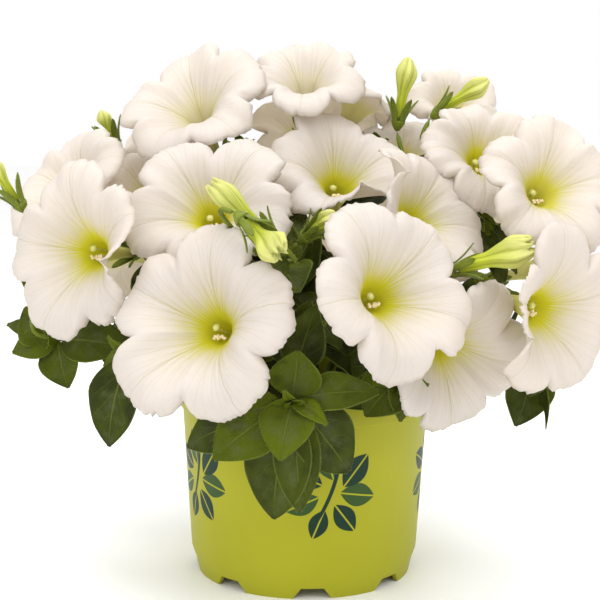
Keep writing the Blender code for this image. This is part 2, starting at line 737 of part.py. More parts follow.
def applied(made, weld=True):
    """The object with its modifiers, or its curve, turned into a plain mesh, with its seams welded."""
    graph = bpy.context.evaluated_depsgraph_get()
    mesh = bpy.data.meshes.new_from_object(made.evaluated_get(graph))
    name, place, users = made.name, made.matrix_world.copy(), list(made.users_collection)
    bpy.data.objects.remove(made)
    if weld:
        welded = bmesh.new()
        welded.from_mesh(mesh)
        bmesh.ops.remove_doubles(welded, verts=welded.verts, dist=0.000002)
        bmesh.ops.recalc_face_normals(welded, faces=welded.faces)
        welded.to_mesh(mesh)
        welded.free()
    solid = bpy.data.objects.new(name, mesh)
    solid.matrix_world = place
    for collection in users:
        collection.objects.link(solid)
    return solid


def without_scraps(mesh):
    """Keeps the largest of a mesh's bodies: a union can leave a loose crumb where two surfaces nearly touch."""
    shape = bmesh.new()
    shape.from_mesh(mesh)
    shape.verts.ensure_lookup_table()
    bodies, seen = [], set()
    for start in shape.verts:
        if start.index in seen:
            continue
        body, edge_of = [], [start]
        seen.add(start.index)
        while edge_of:
            vertex = edge_of.pop()
            body.append(vertex)
            for edge in vertex.link_edges:
                other = edge.other_vert(vertex)
                if other.index not in seen:
                    seen.add(other.index)
                    edge_of.append(other)
        bodies.append(body)
    bodies.sort(key=len)
    bmesh.ops.delete(shape, geom=[v for body in bodies[:-1] for v in body], context="VERTS")
    shape.to_mesh(mesh)
    shape.free()


def thickened(name, points, faces, thickness, collection):
    """A sheet given its thickness, half on each side."""
    made = mesh_object(name, points, faces, collection)
    shell = made.modifiers.new("Thickness", "SOLIDIFY")
    shell.thickness = thickness
    shell.offset = 0.0
    shell.use_even_offset = False
    return applied(made)


def joined(name, pieces, collection):
    """One solid from several that run into each other."""
    group = bpy.data.collections.new("pieces to join")
    bpy.context.scene.collection.children.link(group)
    first = pieces[0]
    for piece in pieces[1:]:
        collection.objects.unlink(piece)
        group.objects.link(piece)
    union = first.modifiers.new("Union", "BOOLEAN")
    union.operation = "UNION"
    union.operand_type = "COLLECTION"
    union.collection = group
    union.solver = "MANIFOLD"
    first.name = name
    whole = applied(first, weld=False)
    without_scraps(whole.data)
    for piece in list(group.objects):
        bpy.data.objects.remove(piece)
    bpy.data.collections.remove(group)
    return whole


def cut(made, cutters, collection):
    """Cuts each cutter from the object, with one Boolean on the cutters' collection."""
    group = bpy.data.collections.new(f"{made.name} cutters")
    group.hide_render = True
    collection.children.link(group)
    for cutter in cutters:
        cutter.hide_render = True
        cutter.display_type = "WIRE"
        for old in list(cutter.users_collection):
            old.objects.unlink(cutter)
        group.objects.link(cutter)
    difference = made.modifiers.new("Cuts", "BOOLEAN")
    difference.operation = "DIFFERENCE"
    difference.operand_type = "COLLECTION"
    difference.collection = group


def rod(name, points, radii, resolution, collection):
    """A stem or stalk: a curve through the points with its own radius at each."""
    curve = bpy.data.curves.new(name, "CURVE")
    curve.dimensions = "3D"
    curve.bevel_depth = radii[0]
    curve.bevel_resolution = resolution
    curve.use_fill_caps = True
    line = curve.splines.new("POLY")
    line.points.add(len(points) - 1)
    for knot, point, radius in zip(line.points, points, radii):
        knot.co = (*point, 1.0)
        knot.radius = radius / radii[0]
    made = bpy.data.objects.new(name, curve)
    collection.objects.link(made)
    return applied(made)


def turned(name, profile, collection):
    """A turned shape from its profile of radii and heights."""
    mesh = bpy.data.meshes.new(name)
    mesh.from_pydata([(r, 0, z) for r, z in profile], [(i, i + 1) for i in range(len(profile) - 1)], [])
    made = bpy.data.objects.new(name, mesh)
    collection.objects.link(made)
    screw = made.modifiers.new("Turn", "SCREW")
    screw.steps = screw.render_steps = POT_SIDES
    screw.use_merge_vertices = True
    screw.merge_threshold = 0.00001
    return made


def pot(parts, cutters):
    """A thin plastic grower's pot: a rolled rim band, a foot ring with eight notches, and eight drain holes."""
    inner = POT_WALL
    underside = FLOOR_Z - 0.0016
    profile = [
        (0, FLOOR_Z),
        (FOOT_TOP_RADIUS - inner, FLOOR_Z),
        (SHOULDER_RADIUS - inner, SHOULDER_Z + 0.0006),
        (WALL_TOP_RADIUS - inner, BAND_Z),
        (RIM_RADIUS - inner, POT_HEIGHT),
        (RIM_RADIUS - 0.0004, POT_HEIGHT),
        (RIM_RADIUS, POT_HEIGHT - 0.0008),
        (RIM_RADIUS - 0.0006, BAND_Z + 0.0002),
        (WALL_TOP_RADIUS, BAND_Z - 0.0006),
        (SHOULDER_RADIUS, SHOULDER_Z),
        (FOOT_TOP_RADIUS, FOOT_TOP_Z),
        (FOOT_RADIUS, 0),
        (FOOT_RADIUS - 0.0022, 0),
        (FOOT_RADIUS - 0.0018, underside),
        (PAD_RADIUS + 0.0005, underside),
        (PAD_RADIUS, 0),
        (0, 0),
    ]
    made = turned("pot", profile, parts)
    tools = []
    for i in range(NOTCHES):
        wedge = bmesh.new()
        bmesh.ops.create_cube(wedge, size=1.0)
        for corner in wedge.verts:
            low = corner.co.z < 0
            width = NOTCH_WIDTH_LOW if low else NOTCH_WIDTH_HIGH
            corner.co = (corner.co.x * width, corner.co.y * 0.008, -0.002 if low else NOTCH_HEIGHT)
        mesh = bpy.data.meshes.new("notch")
        wedge.to_mesh(mesh)
        wedge.free()
        notch = bpy.data.objects.new(f"notch_{i}", mesh)
        turn = NOTCH_TURN + math.tau * i / NOTCHES
        notch.rotation_euler.z = turn
        notch.location = Matrix.Rotation(turn, 3, "Z") @ Vector((0, -FOOT_RADIUS + 0.0005, 0))
        cutters.objects.link(notch)
        tools.append(notch)
        bpy.ops.mesh.primitive_cylinder_add(
            vertices=8,
            radius=DRAIN_RADIUS,
            depth=0.01,
            location=Matrix.Rotation(turn + math.pi / NOTCHES, 3, "Z") @ Vector((0, -DRAIN_RING, FLOOR_Z)),
        )
        hole = bpy.context.object
        hole.name = f"drain_{i}"
        tools.append(hole)
    cut(made, tools, cutters)
    made.data.shade_smooth()
    return made


def soil(parts, cutters, grown):
    """The potting mix, a little lower at the wall, with a plain hole for each stem."""
    wall = POT_WALL + GAP
    profile = [
        (0, SOIL_TOP + SOIL_CROWN),
        (0.040, SOIL_TOP + 0.5 * SOIL_CROWN),
        (WALL_TOP_RADIUS - wall, SOIL_TOP - 0.0025),
        (WALL_TOP_RADIUS - wall - 0.0001, BAND_Z - 0.0012),
        (SHOULDER_RADIUS - wall, SHOULDER_Z + 0.0006),
        (FOOT_TOP_RADIUS - wall, FLOOR_Z + GAP),
        (0, FLOOR_Z + GAP),
    ]
    made = turned("soil", profile, parts)
    tools = []
    for shoot in grown:
        bpy.ops.mesh.primitive_cylinder_add(
            vertices=6,
            radius=(STEM_RADIUS + GAP) / math.cos(math.pi / 6),
            depth=HOLE_DEPTH + 0.02,
            location=(*shoot.shoot.root, SOIL_TOP - HOLE_DEPTH + (HOLE_DEPTH + 0.02) / 2),
        )
        hole = bpy.context.object
        hole.name = f"{shoot.shoot.name}_hole"
        tools.append(hole)
    cut(made, tools, cutters)
    return made


def stalk_and_calyx(name, route, foot, ahead, parts):
    """A flower stalk, and the green cup at its end with five pointed sepals. The cup is solid, with a flat mouth."""
    points, quads = tube_rings(route, PEDICEL_RADIUS, LOBES)
    last = points[-LOBES:]
    middle = sum(last, Vector()) / LOBES
    right = last[0] - middle
    right = (right - ahead * right.dot(ahead)).normalized()
    up = ahead.cross(right)

    def ring(radius, height, shift=0.0):
        turns = [math.tau * (s + shift) / LOBES for s in range(LOBES)]
        return [foot + ahead * height + radius * (math.cos(t) * right + math.sin(t) * up) for t in turns]

    count = len(points)
    points += ring(CALYX_RADIUS, -GAP) + ring(CALYX_MOUTH, -GAP) + ring(SEPAL_REACH, SEPAL_LENGTH, 0.5)
    faces = [*quads, tuple(range(LOBES)), tuple(range(count + LOBES, count + 2 * LOBES))]
    for s in range(LOBES):
        n = (s + 1) % LOBES
        low, low_next = count - LOBES + s, count - LOBES + n
        rim, rim_next = count + s, count + n
        mouth, mouth_next, tip = count + LOBES + s, count + LOBES + n, count + 2 * LOBES + s
        faces += [(low, low_next, rim_next, rim), (rim, rim_next, tip), (mouth_next, mouth, tip)]
        faces += [(mouth, rim, tip), (rim_next, mouth_next, tip)]
    return mesh_object(name, points, faces, parts)


def shoot_object(grown, parts):
    """One shoot: stem, flower stalks, calyces and leaves as one solid."""
    name, count = grown.shoot.name, len(grown.stem)
    radii = [STEM_RADIUS + (STEM_TIP_RADIUS - STEM_RADIUS) * max(0, i - 1) / (count - 2) for i in range(count)]
    pieces = [rod(name, grown.stem, radii, 1, parts)]
    for i, (route, foot, ahead) in enumerate(grown.stalks):
        pieces.append(stalk_and_calyx(f"{name}_stalk_{i}", route, foot, ahead, parts))
    for i, leaf in enumerate(grown.leaves):
        rows = LEAF_ROWS if (leaf.tip - leaf.base).length > BRACT_LENGTH * 1.05 else BRACT_ROWS
        pieces.append(thickened(f"{name}_leaf_{i}", *leaf_sheet(leaf, rows), LEAF_THICKNESS, parts))
    return joined(name, pieces, parts)


def column(bloom, parts):
    """The pistil and, near its head, the ring of anthers, standing on the closed foot of the tube."""
    frame = flower_frame(bloom)
    heights = (-TUBE_LENGTH, -0.0060, -0.0036)
    radii = (COLUMN_RADIUS, ANTHER_RADIUS * 1.8, COLUMN_RADIUS)
    line = [frame @ Vector((0, 0, height)) for height in heights]
    return rod(f"{bloom.name}_column", line, radii, 0, parts)


def bloom_object(bloom, parts):
    """One flower: the corolla's sheet with its thickness, and the column inside it."""
    corolla = thickened(bloom.name, *corolla_sheet(bloom), PETAL_THICKNESS, parts)
    return joined(bloom.name, [corolla, column(bloom, parts)], parts)


def main():
    """Builds the whole potted plant."""
    for old in list(bpy.data.objects):
        bpy.data.objects.remove(old)
    scene = bpy.context.scene
    parts = bpy.data.collections.new("petunia")
    cutters = bpy.data.collections.new("cutters")
    cutters.hide_render = True
    scene.collection.children.link(parts)
    scene.collection.children.link(cutters)
    blooms, buds, grown = grow()
    for shoot in grown:
        made = shoot_object(shoot, parts)
        made.data.materials.clear()
        made.data.materials.append(material(f"{shoot.shoot.name} green", (0.08, 0.20, 0.035), 0.65))
    for bloom in blooms:
        made = bloom_object(bloom, parts)
        made.data.materials.clear()
        made.data.materials.append(material(f"{bloom.name} cream", (0.86, 0.83, 0.72), 0.55))
    for bud in buds:
        made = mesh_object(bud.name, *bud_sheet(bud), parts)
        made.data.materials.append(material(f"{bud.name} pale green", (0.72, 0.74, 0.38), 0.6))
    made = pot(parts, cutters)
    made.data.materials.append(material("lime plastic", (0.42, 0.60, 0.06), 0.42))
    made = soil(parts, cutters, grown)
    made.data.materials.append(material("potting mix", (0.045, 0.028, 0.018), 0.95))


main()
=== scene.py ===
"""A white garden petunia in a lime plastic pot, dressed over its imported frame, in metres, +Z up.

The growth rule below is the one that made the solids, so every flower, bud, stem, stalk and
leaf is found again in its own place, and is made here as a finer piece that keeps its form.
"""

import json
import logging
import random
from dataclasses import dataclass, field, replace
from enum import Enum
from functools import lru_cache
from math import cos, exp, hypot, pi, radians, sin, sqrt, tau
from typing import Callable

import bpy
from mathutils import Matrix, Vector, noise
from mathutils.bvhtree import BVHTree

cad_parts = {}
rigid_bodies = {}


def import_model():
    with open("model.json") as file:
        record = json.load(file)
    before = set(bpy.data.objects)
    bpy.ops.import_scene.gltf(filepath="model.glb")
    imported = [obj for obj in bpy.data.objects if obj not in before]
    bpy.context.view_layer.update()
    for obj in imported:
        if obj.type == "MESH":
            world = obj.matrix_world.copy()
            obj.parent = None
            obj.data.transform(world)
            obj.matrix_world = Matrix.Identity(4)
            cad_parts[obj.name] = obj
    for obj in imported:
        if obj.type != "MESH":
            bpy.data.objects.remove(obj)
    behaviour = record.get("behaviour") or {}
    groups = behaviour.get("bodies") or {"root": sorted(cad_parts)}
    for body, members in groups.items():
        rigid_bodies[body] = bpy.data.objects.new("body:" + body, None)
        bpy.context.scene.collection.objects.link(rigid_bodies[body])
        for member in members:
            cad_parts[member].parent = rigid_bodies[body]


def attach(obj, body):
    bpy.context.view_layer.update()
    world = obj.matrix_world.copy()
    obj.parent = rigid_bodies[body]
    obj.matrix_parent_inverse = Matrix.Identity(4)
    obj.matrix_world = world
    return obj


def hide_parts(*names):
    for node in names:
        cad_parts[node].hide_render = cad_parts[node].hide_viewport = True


LOG = logging.getLogger("petunia")
# The eye of the front view: flowers give way along the lines that start there.
EYE = Vector((0.0, -0.6, 0.2))
SKY = Vector((0.0, 0.0, 1.0))
LOBES = 5
GOLDEN_TURN = radians(137.5)
Sheet = tuple[list, list]
Piece = bpy.types.Object


@dataclass(frozen=True)
class PotForm:
    """The sizes of the grower's pot, and of what fills it."""

    height: float = 0.095
    rim_radius: float = 0.0618
    band_z: float = 0.0815
    wall_top_radius: float = 0.0600
    shoulder_z: float = 0.0120
    shoulder_radius: float = 0.0557
    foot_top_z: float = 0.0066
    foot_top_radius: float = 0.0538
    foot_radius: float = 0.0523
    wall: float = 0.0015
    floor_z: float = 0.0072
    pad_radius: float = 0.0100
    notches: int = 8
    notch_turn: float = radians(4.5)
    notch_height: float = 0.0052
    notch_width_low: float = 0.021
    notch_width_high: float = 0.0105
    drain_radius: float = 0.0035
    drain_ring: float = 0.037
    soil_top: float = 0.0835
    soil_crown: float = 0.0030
    gap: float = 0.0004
    hole_depth: float = 0.022


@dataclass(frozen=True)
class FlowerForm:
    """The sizes that all flowers and their stalks share."""

    tube_length: float = 0.028
    tube_foot_radius: float = 0.0018
    throat_radius: float = 0.0068
    lobe_notch: float = 0.22
    petal_thickness: float = 0.0008
    calyx_length: float = 0.0060
    calyx_radius: float = 0.0036
    sepal_length: float = 0.012
    sepal_reach: float = 0.0085
    pedicel_radius: float = 0.0010


@dataclass(frozen=True)
class ShootForm:
    """The sizes and habits that all leafy shoots share."""

    stem_radius: float = 0.0019
    stem_tip_radius: float = 0.0010
    petiole_width: float = 0.0018
    clearance: float = 0.00125
    leaves_a_shoot: int = 4
    most_leaves: int = 8
    bract_length: float = 0.022
    seed: int = 41


POT = PotForm()
FLOWER = FlowerForm()
SHOOT = ShootForm()


@dataclass(frozen=True)
class Bloom:
    """An open flower: where its throat is, its shape, and the way it faces, in degrees round and up."""

    name: str
    throat: tuple
    faces: tuple
    width: float = 0.078
    roll: float = 0.0
    cup: float = 0.24
    curl: float = 0.10
    folds: tuple = ()
    lobes: tuple = ()


class BudEnd(Enum):
    """How a bud ends: still furled, or with the frilled edge of the limb already showing."""

    FURLED = "furled"
    FRILLED = "frilled"


@dataclass(frozen=True)
class Bud:
    """A furled bud, from its calyx to its tip."""

    name: str
    base: tuple
    tip: tuple
    width: float
    end: BudEnd = BudEnd.FURLED

    @property
    def ahead(self) -> Vector:
        """The way it points."""
        return (Vector(self.tip) - Vector(self.base)).normalized()

    def moved(self, shift: Vector) -> "Bud":
        """The same bud moved aside."""
        return replace(self, base=tuple(Vector(self.base) + shift), tip=tuple(Vector(self.tip) + shift))


@dataclass(frozen=True)
class Leaf:
    """A leaf: its tip, the way its upper face looks, its width, its foot, its arch and how light it is."""

    tip: Vector
    normal: Vector
    width: float
    base: Vector = None
    arch: float = 0.12
    young: float = 0.0


@dataclass(frozen=True)
class Shoot:
    """A leafy shoot: where its stem starts, turns and ends, its placed leaves, and how many more it grows."""

    name: str
    root: tuple
    turn: tuple
    tip: tuple
    leaves: tuple = ()
    more: int = 4


@dataclass
class Grown:
    """A shoot as it grew: its stem, its flower stalks with the way each calyx faces, and its leaves."""

    shoot: Shoot
    stem: list
    stalks: list = field(default_factory=list)
    leaves: list = field(default_factory=list)


def facing(azimuth: float, elevation: float) -> Vector:
    """The unit vector that looks azimuth degrees round from the front and elevation degrees up."""
    a, e = radians(azimuth), radians(elevation)
    return Vector((sin(a) * cos(e), -cos(a) * cos(e), sin(e)))


def spoke(one: Vector, two: Vector, turn: float) -> Vector:
    """The direction at an angle between two others that stand square to each other."""
    return cos(turn) * one + sin(turn) * two


def shake(draw: random.Random, reach: float, times: float = 1) -> Vector:
    """A small move by chance, each way up to so many times the reach."""
    return Vector([draw.uniform(-1, 1) * reach * times for _ in range(3)])


def side_veins(along: "Wire | float", side: "Wire | float") -> "Wire | float":
    """How many of a leaf's side veins, which arch towards its tip, come before a place on it."""
    return along * 5.5 - side * 2.5 + side * side * 0.7


def leaf_at(
    tip: tuple, faces: tuple, width: float, arch: float = 0.12, near: tuple | None = None, young: float = 0.0
) -> Leaf:
    """A listed leaf, which faces a way in degrees and may start near a given place."""
    return Leaf(Vector(tip), facing(*faces), width, near and Vector(near), arch, young)


BLOOMS = [
    Bloom(
        "bloom_front_left", (-0.036, -0.095, 0.130), (-27, 18), 0.086, 0.27,
        cup=0.27, lobes=(0.96, 0.98, 1.04, 1.02, 0.94),
    ),
    Bloom("bloom_front_right", (0.028, -0.097, 0.144), (33, 20), 0.080, 0.75, cup=0.28),
    Bloom("bloom_left", (-0.093, -0.055, 0.159), (-27, 4), 0.080, 0.5, folds=((-10, 0.17),)),
    Bloom("bloom_right", (0.099, -0.068, 0.137), (32, 3), 0.080, 0.3, folds=((185, 0.20),)),
    Bloom("bloom_low_right", (0.064, -0.062, 0.118), (24, -12), 0.080, 1.1, folds=((200, 0.18),)),
    Bloom("bloom_upper_right", (0.105, -0.040, 0.186), (20, 26), 0.070, 0.1),
    Bloom("bloom_centre", (0.045, -0.060, 0.173), (38, 35), 0.076, 0.8, folds=((170, 0.2),)),
    Bloom("bloom_behind_right", (0.083, -0.006, 0.199), (8, 36), 0.066, 0.6),
    Bloom("bloom_middle", (0.014, -0.036, 0.187), (14, 44), 0.080, 0.4, folds=((-80, 0.2),)),
    Bloom("bloom_mid_left", (-0.042, -0.045, 0.173), (-8, 36), 0.081, 1.0),
    Bloom("bloom_top_right", (0.044, -0.012, 0.204), (-4, 44), 0.054, 0.2),
    Bloom("bloom_top_left", (-0.052, 0.000, 0.220), (-24, 42), 0.076, 0.7),
    Bloom("bloom_top", (-0.001, 0.012, 0.234), (-2, 54), 0.062, 0.9),
    Bloom("bloom_crown", (0.024, 0.034, 0.226), (105, 50), 0.050, 0.3),
    Bloom("bloom_high_right", (0.073, 0.038, 0.225), (16, 40), 0.052, 0.5),
    Bloom("bloom_heart", (-0.013, -0.008, 0.202), (-5, 60), 0.058, 0.1),
    Bloom("bloom_far_left", (-0.112, 0.010, 0.182), (-45, 50), 0.074, 0.5),
    Bloom("bloom_back_left", (-0.092, 0.064, 0.192), (-80, 40), 0.070, 0.8),
    Bloom("bloom_side_left", (-0.075, -0.008, 0.188), (-25, 60), 0.066, 0.2),
    Bloom("bloom_back_a", (-0.102, 0.088, 0.150), (-122, 14), 0.078, 0.3),
    Bloom("bloom_back_b", (-0.040, 0.102, 0.168), (-160, 22), 0.080, 0.7),
    Bloom("bloom_back_c", (0.030, 0.110, 0.148), (172, 10), 0.080, 0.9),
    Bloom("bloom_back_d", (0.085, 0.086, 0.176), (140, 28), 0.078, 0.1),
    Bloom("bloom_back_e", (0.122, 0.034, 0.146), (95, 12), 0.078, 0.6),
    Bloom("bloom_back_f", (0.002, 0.070, 0.208), (178, 46), 0.074, 0.4),
]

BUDS = [
    Bud("bud_upright", (0.045, 0.014, 0.221), (0.049, 0.012, 0.250), 0.0115),
    Bud("bud_high_right", (0.066, 0.016, 0.225), (0.088, 0.012, 0.240), 0.0110),
    Bud("bud_right", (0.064, -0.079, 0.155), (0.094, -0.088, 0.166), 0.0150, BudEnd.FRILLED),
    Bud("bud_long", (-0.014, -0.096, 0.169), (-0.039, -0.099, 0.191), 0.0110, BudEnd.FRILLED),
    Bud("bud_pale", (-0.024, -0.108, 0.172), (-0.010, -0.116, 0.160), 0.0150, BudEnd.FRILLED),
    Bud("bud_small", (0.001, -0.060, 0.168), (0.012, -0.066, 0.178), 0.0090),
    Bud("bud_left_high", (-0.098, 0.030, 0.210), (-0.104, 0.028, 0.224), 0.0080),
    Bud("bud_left_edge", (-0.130, -0.044, 0.181), (-0.142, -0.050, 0.200), 0.0090),
    Bud("bud_back", (0.020, 0.120, 0.195), (0.024, 0.142, 0.212), 0.0120),
    Bud("bud_back_left", (-0.085, 0.108, 0.190), (-0.102, 0.125, 0.202), 0.0110),
]

SHOOTS = [
    Shoot("shoot_front", (-0.004, -0.020), (-0.004, -0.066, 0.122), (-0.005, -0.094, 0.101), (
        leaf_at((-0.038, -0.096, 0.076), (-14, 20), 0.027, young=0.55),
        leaf_at((-0.010, -0.110, 0.079), (-4, 30), 0.023, young=0.65),
        leaf_at((-0.003, -0.102, 0.123), (0, 14), 0.022, -0.05, young=0.55),
        leaf_at((0.031, -0.092, 0.104), (12, 34), 0.017, young=0.45),
        leaf_at((0.019, -0.084, 0.068), (10, 14), 0.027),
        leaf_at((-0.002, -0.090, 0.052), (3, 10), 0.020),
        leaf_at((-0.013, -0.080, 0.046), (-14, 8), 0.029),
        leaf_at((-0.051, -0.074, 0.076), (-22, 14), 0.024),
        leaf_at((0.009, -0.106, 0.093), (8, 36), 0.009, young=1.0),
    ), 1),
    Shoot("shoot_front_left", (-0.014, -0.016), (-0.060, -0.052, 0.122), (-0.077, -0.066, 0.116), (
        leaf_at((-0.087, -0.062, 0.073), (-16, 6), 0.024),
    ), 1),
    Shoot("shoot_left", (-0.020, -0.004), (-0.084, -0.022, 0.130), (-0.114, -0.036, 0.117), (
        leaf_at((-0.108, -0.045, 0.096), (-15, 10), 0.021, young=0.3),
        leaf_at((-0.135, -0.038, 0.111), (-22, 18), 0.015, young=0.5),
        leaf_at((-0.131, -0.030, 0.131), (-25, 32), 0.025),
        leaf_at((-0.076, -0.050, 0.115), (-12, 26), 0.022, near=(-0.106, -0.034, 0.119)),
        leaf_at((-0.141, -0.022, 0.122), (-30, 30), 0.009),
    ), 1),
    Shoot("shoot_back_left", (-0.016, 0.013), (-0.070, 0.056, 0.126), (-0.112, 0.078, 0.110)),
    Shoot("shoot_back", (0.000, 0.020), (-0.004, 0.078, 0.128), (-0.010, 0.122, 0.112)),
    Shoot("shoot_back_right", (0.016, 0.014), (0.066, 0.056, 0.124), (0.096, 0.082, 0.104)),
    Shoot("shoot_right", (0.021, -0.002), (0.082, 0.000, 0.120), (0.110, -0.002, 0.104), (
        leaf_at((0.102, -0.012, 0.073), (20, 10), 0.027),
    )),
    Shoot("shoot_front_right", (0.013, -0.016), (0.038, -0.050, 0.116), (0.041, -0.070, 0.108), (
        leaf_at((0.026, -0.078, 0.091), (10, 30), 0.023),
        leaf_at((0.035, -0.089, 0.108), (12, 24), 0.015, near=(0.036, -0.060, 0.112), young=0.4),
        leaf_at((0.050, -0.070, 0.092), (18, 26), 0.018),
        leaf_at((0.041, -0.079, 0.089), (16, 30), 0.013),
    ), 1),
    Shoot("shoot_upper_left", (-0.011, -0.004), (-0.030, -0.006, 0.140), (-0.072, -0.010, 0.176)),
    Shoot("shoot_upper_front", (-0.001, -0.011), (0.000, -0.026, 0.134), (-0.012, -0.056, 0.152), (
        leaf_at((-0.003, -0.086, 0.145), (6, 30), 0.024),
        leaf_at((-0.024, -0.080, 0.148), (-20, 30), 0.020),
    )),
    Shoot("shoot_upper_right", (0.010, -0.003), (0.030, -0.006, 0.138), (0.078, -0.020, 0.172)),
    Shoot("shoot_crown", (0.004, 0.008), (0.010, 0.014, 0.150), (0.036, 0.020, 0.206), (
        leaf_at((0.030, 0.028, 0.226), (-30, 6), 0.014, 0.0),
        leaf_at((0.056, 0.014, 0.226), (15, 20), 0.008, 0.0),
    )),
    Shoot("shoot_upper_back", (-0.006, 0.008), (-0.016, 0.026, 0.150), (-0.030, 0.044, 0.204)),
]


class Surfaces:
    """The bare surfaces of the growth rule, as points and faces, which tell where there is room to grow."""

    lobe_places = (0.5, 0.76, 1.24)
    corolla_rows = ((0.0, 1), (0.55, 1), (1.0, 3), (1.5, 3), (2.0, 3))
    bud_sides = 10
    bud_rows = ((0.0, 0.34), (0.36, 0.46), (0.76, 1.0), (1.0, 0.34))
    bud_twist = 1.1
    leaf_rows = (0.34, 0.70)

    @staticmethod
    def flower_frame(bloom: Bloom) -> Matrix:
        """The matrix that puts a flower's own +Z the way it faces, +Y skywards, and its throat in place."""
        ahead = facing(*bloom.faces)
        right = SKY.cross(ahead).normalized()
        turned = Matrix((right, ahead.cross(right), ahead)).transposed()
        return Matrix.Translation(bloom.throat) @ turned.to_4x4()

    @staticmethod
    def petal_waves(bloom: Bloom) -> list:
        """A flower's own slow waves: how many in a turn, size as a share of the width, and phase."""
        draw = random.Random(bloom.name)
        return [
            (2, draw.uniform(0.02, 0.05), draw.uniform(0, tau)),
            (3, draw.uniform(0.01, 0.035), draw.uniform(0, tau)),
            (LOBES, -0.022, -LOBES * bloom.roll),
        ]

    @staticmethod
    @lru_cache(maxsize=None)
    def chance_lengths(name: str) -> list:
        """How far each lobe of a flower reaches, as a share of its half width."""
        draw = random.Random(f"{name} lobes")
        return [draw.uniform(0.90, 1.03) for _ in range(LOBES)]

    @classmethod
    def lobe_lengths(cls, bloom: Bloom) -> list:
        """The reach of each lobe: as listed, or by chance."""
        return bloom.lobes or cls.chance_lengths(bloom.name)

    @staticmethod
    def corolla_point(bloom: Bloom, waves: list, reach: float, turn: float) -> Vector:
        """A point of the corolla in the flower's own frame.

        Args:
            bloom: the flower.
            waves: its slow waves, from petal_waves.
            reach: 0 at the tube's foot, 1 at the throat and 2 at the edge of the limb.
            turn: the angle round the flower.

        Returns:
            The point, in metres.
        """
        if reach <= 1:
            widen = 0.25 * reach + 0.75 * reach**3
            radius = FLOWER.tube_foot_radius + (FLOWER.throat_radius - FLOWER.tube_foot_radius) * widen
            height = -FLOWER.tube_length * (1 - reach)
            return Vector((radius * cos(turn), radius * sin(turn), height))
        out = reach - 1
        lobe = LOBES * (turn - bloom.roll) / tau
        side = 2 * abs(lobe - round(lobe))
        tip = Surfaces.lobe_lengths(bloom)[round(lobe) % LOBES]
        edge = bloom.width / 2 * (1 - FLOWER.lobe_notch + (tip - 1 + FLOWER.lobe_notch) * (1 - side**3))
        radius = FLOWER.throat_radius + (edge - FLOWER.throat_radius) * out
        rise = bloom.cup * (1 - (1 - out) ** 2) - bloom.curl * out**3
        rise += out**2 * sum(size * cos(count * turn + phase) for count, size, phase in waves)
        for side, amount in bloom.folds:
            share = amount * out**2 * max(0.0, cos(turn - radians(side))) ** 3
            rise += share
            radius -= 0.6 * bloom.width * share
        return Vector((radius * cos(turn), radius * sin(turn), rise * bloom.width))

    @staticmethod
    def ring_faces(rows: int, sides: int) -> list:
        """The quads between rows of points, each row a ring."""
        faces = []
        for low in range(0, (rows - 1) * sides, sides):
            for s in range(sides):
                t = (s + 1) % sides
                faces.append((low + s, low + t, low + sides + t, low + sides + s))
        return faces

    @classmethod
    def corolla(cls, bloom: Bloom) -> Sheet:
        """The corolla's middle surface in place, with three points a lobe.

        Args:
            bloom: the flower.

        Returns:
            Its points and faces.
        """
        frame, waves = cls.flower_frame(bloom), cls.petal_waves(bloom)
        points, faces, starts = [], [], []
        for reach, each in cls.corolla_rows:
            starts.append(len(points))
            for s in range(LOBES * each):
                lobe = s + 1.0 if each == 1 else s // each + cls.lobe_places[s % each]
                turn = bloom.roll + tau * lobe / LOBES
                points.append(frame @ cls.corolla_point(bloom, waves, reach, turn))
        for row in range(len(cls.corolla_rows) - 1):
            low, high = starts[row], starts[row + 1]
            few, many = LOBES * cls.corolla_rows[row][1], LOBES * cls.corolla_rows[row + 1][1]
            each = many // few
            for s in range(few):
                fan = [high + (s * each + i) % many for i in range(each + 1)]
                faces += [(low + s, a, b) for b, a in zip(fan, fan[1:])]
                faces.append((low + s, low + (s + 1) % few, fan[-1]))
        faces.append(tuple(range(LOBES)))
        return points, faces

    @staticmethod
    def bezier(p0: Vector, p1: Vector, p2: Vector, p3: Vector, count: int) -> list:
        """Points along a cubic curve."""
        return [
            (1 - t) ** 3 * p0 + 3 * t * (1 - t) ** 2 * p1 + 3 * t**2 * (1 - t) * p2 + t**3 * p3
            for t in (i / (count - 1) for i in range(count))
        ]

    @classmethod
    def tube(cls, points: list, radius: float, sides: int = 5) -> Sheet:
        """A plain tube round a line of points.

        Args:
            points: the line.
            radius: how thick it is.
            sides: how many faces it has round it.

        Returns:
            Its points and faces.
        """
        rings, side = [], Vector((0.3, 0.8, 0.5))
        for i, point in enumerate(points):
            along = (points[min(i + 1, len(points) - 1)] - points[max(i - 1, 0)]).normalized()
            side = (side - along * side.dot(along)).normalized()
            other = along.cross(side)
            rings += [point + radius * spoke(side, other, tau * s / sides) for s in range(sides)]
        return rings, cls.ring_faces(len(points), sides)

    @staticmethod
    def leaf_width(share: float) -> float:
        """A leaf's width along its length, as a share of its greatest: a short stalk, then an egg shape."""
        blade = max(0.0, (share - 0.10) / 0.90)
        return sin(pi * min(1.0, blade**0.80)) ** 0.72 if 0 < blade < 1 else 0.0

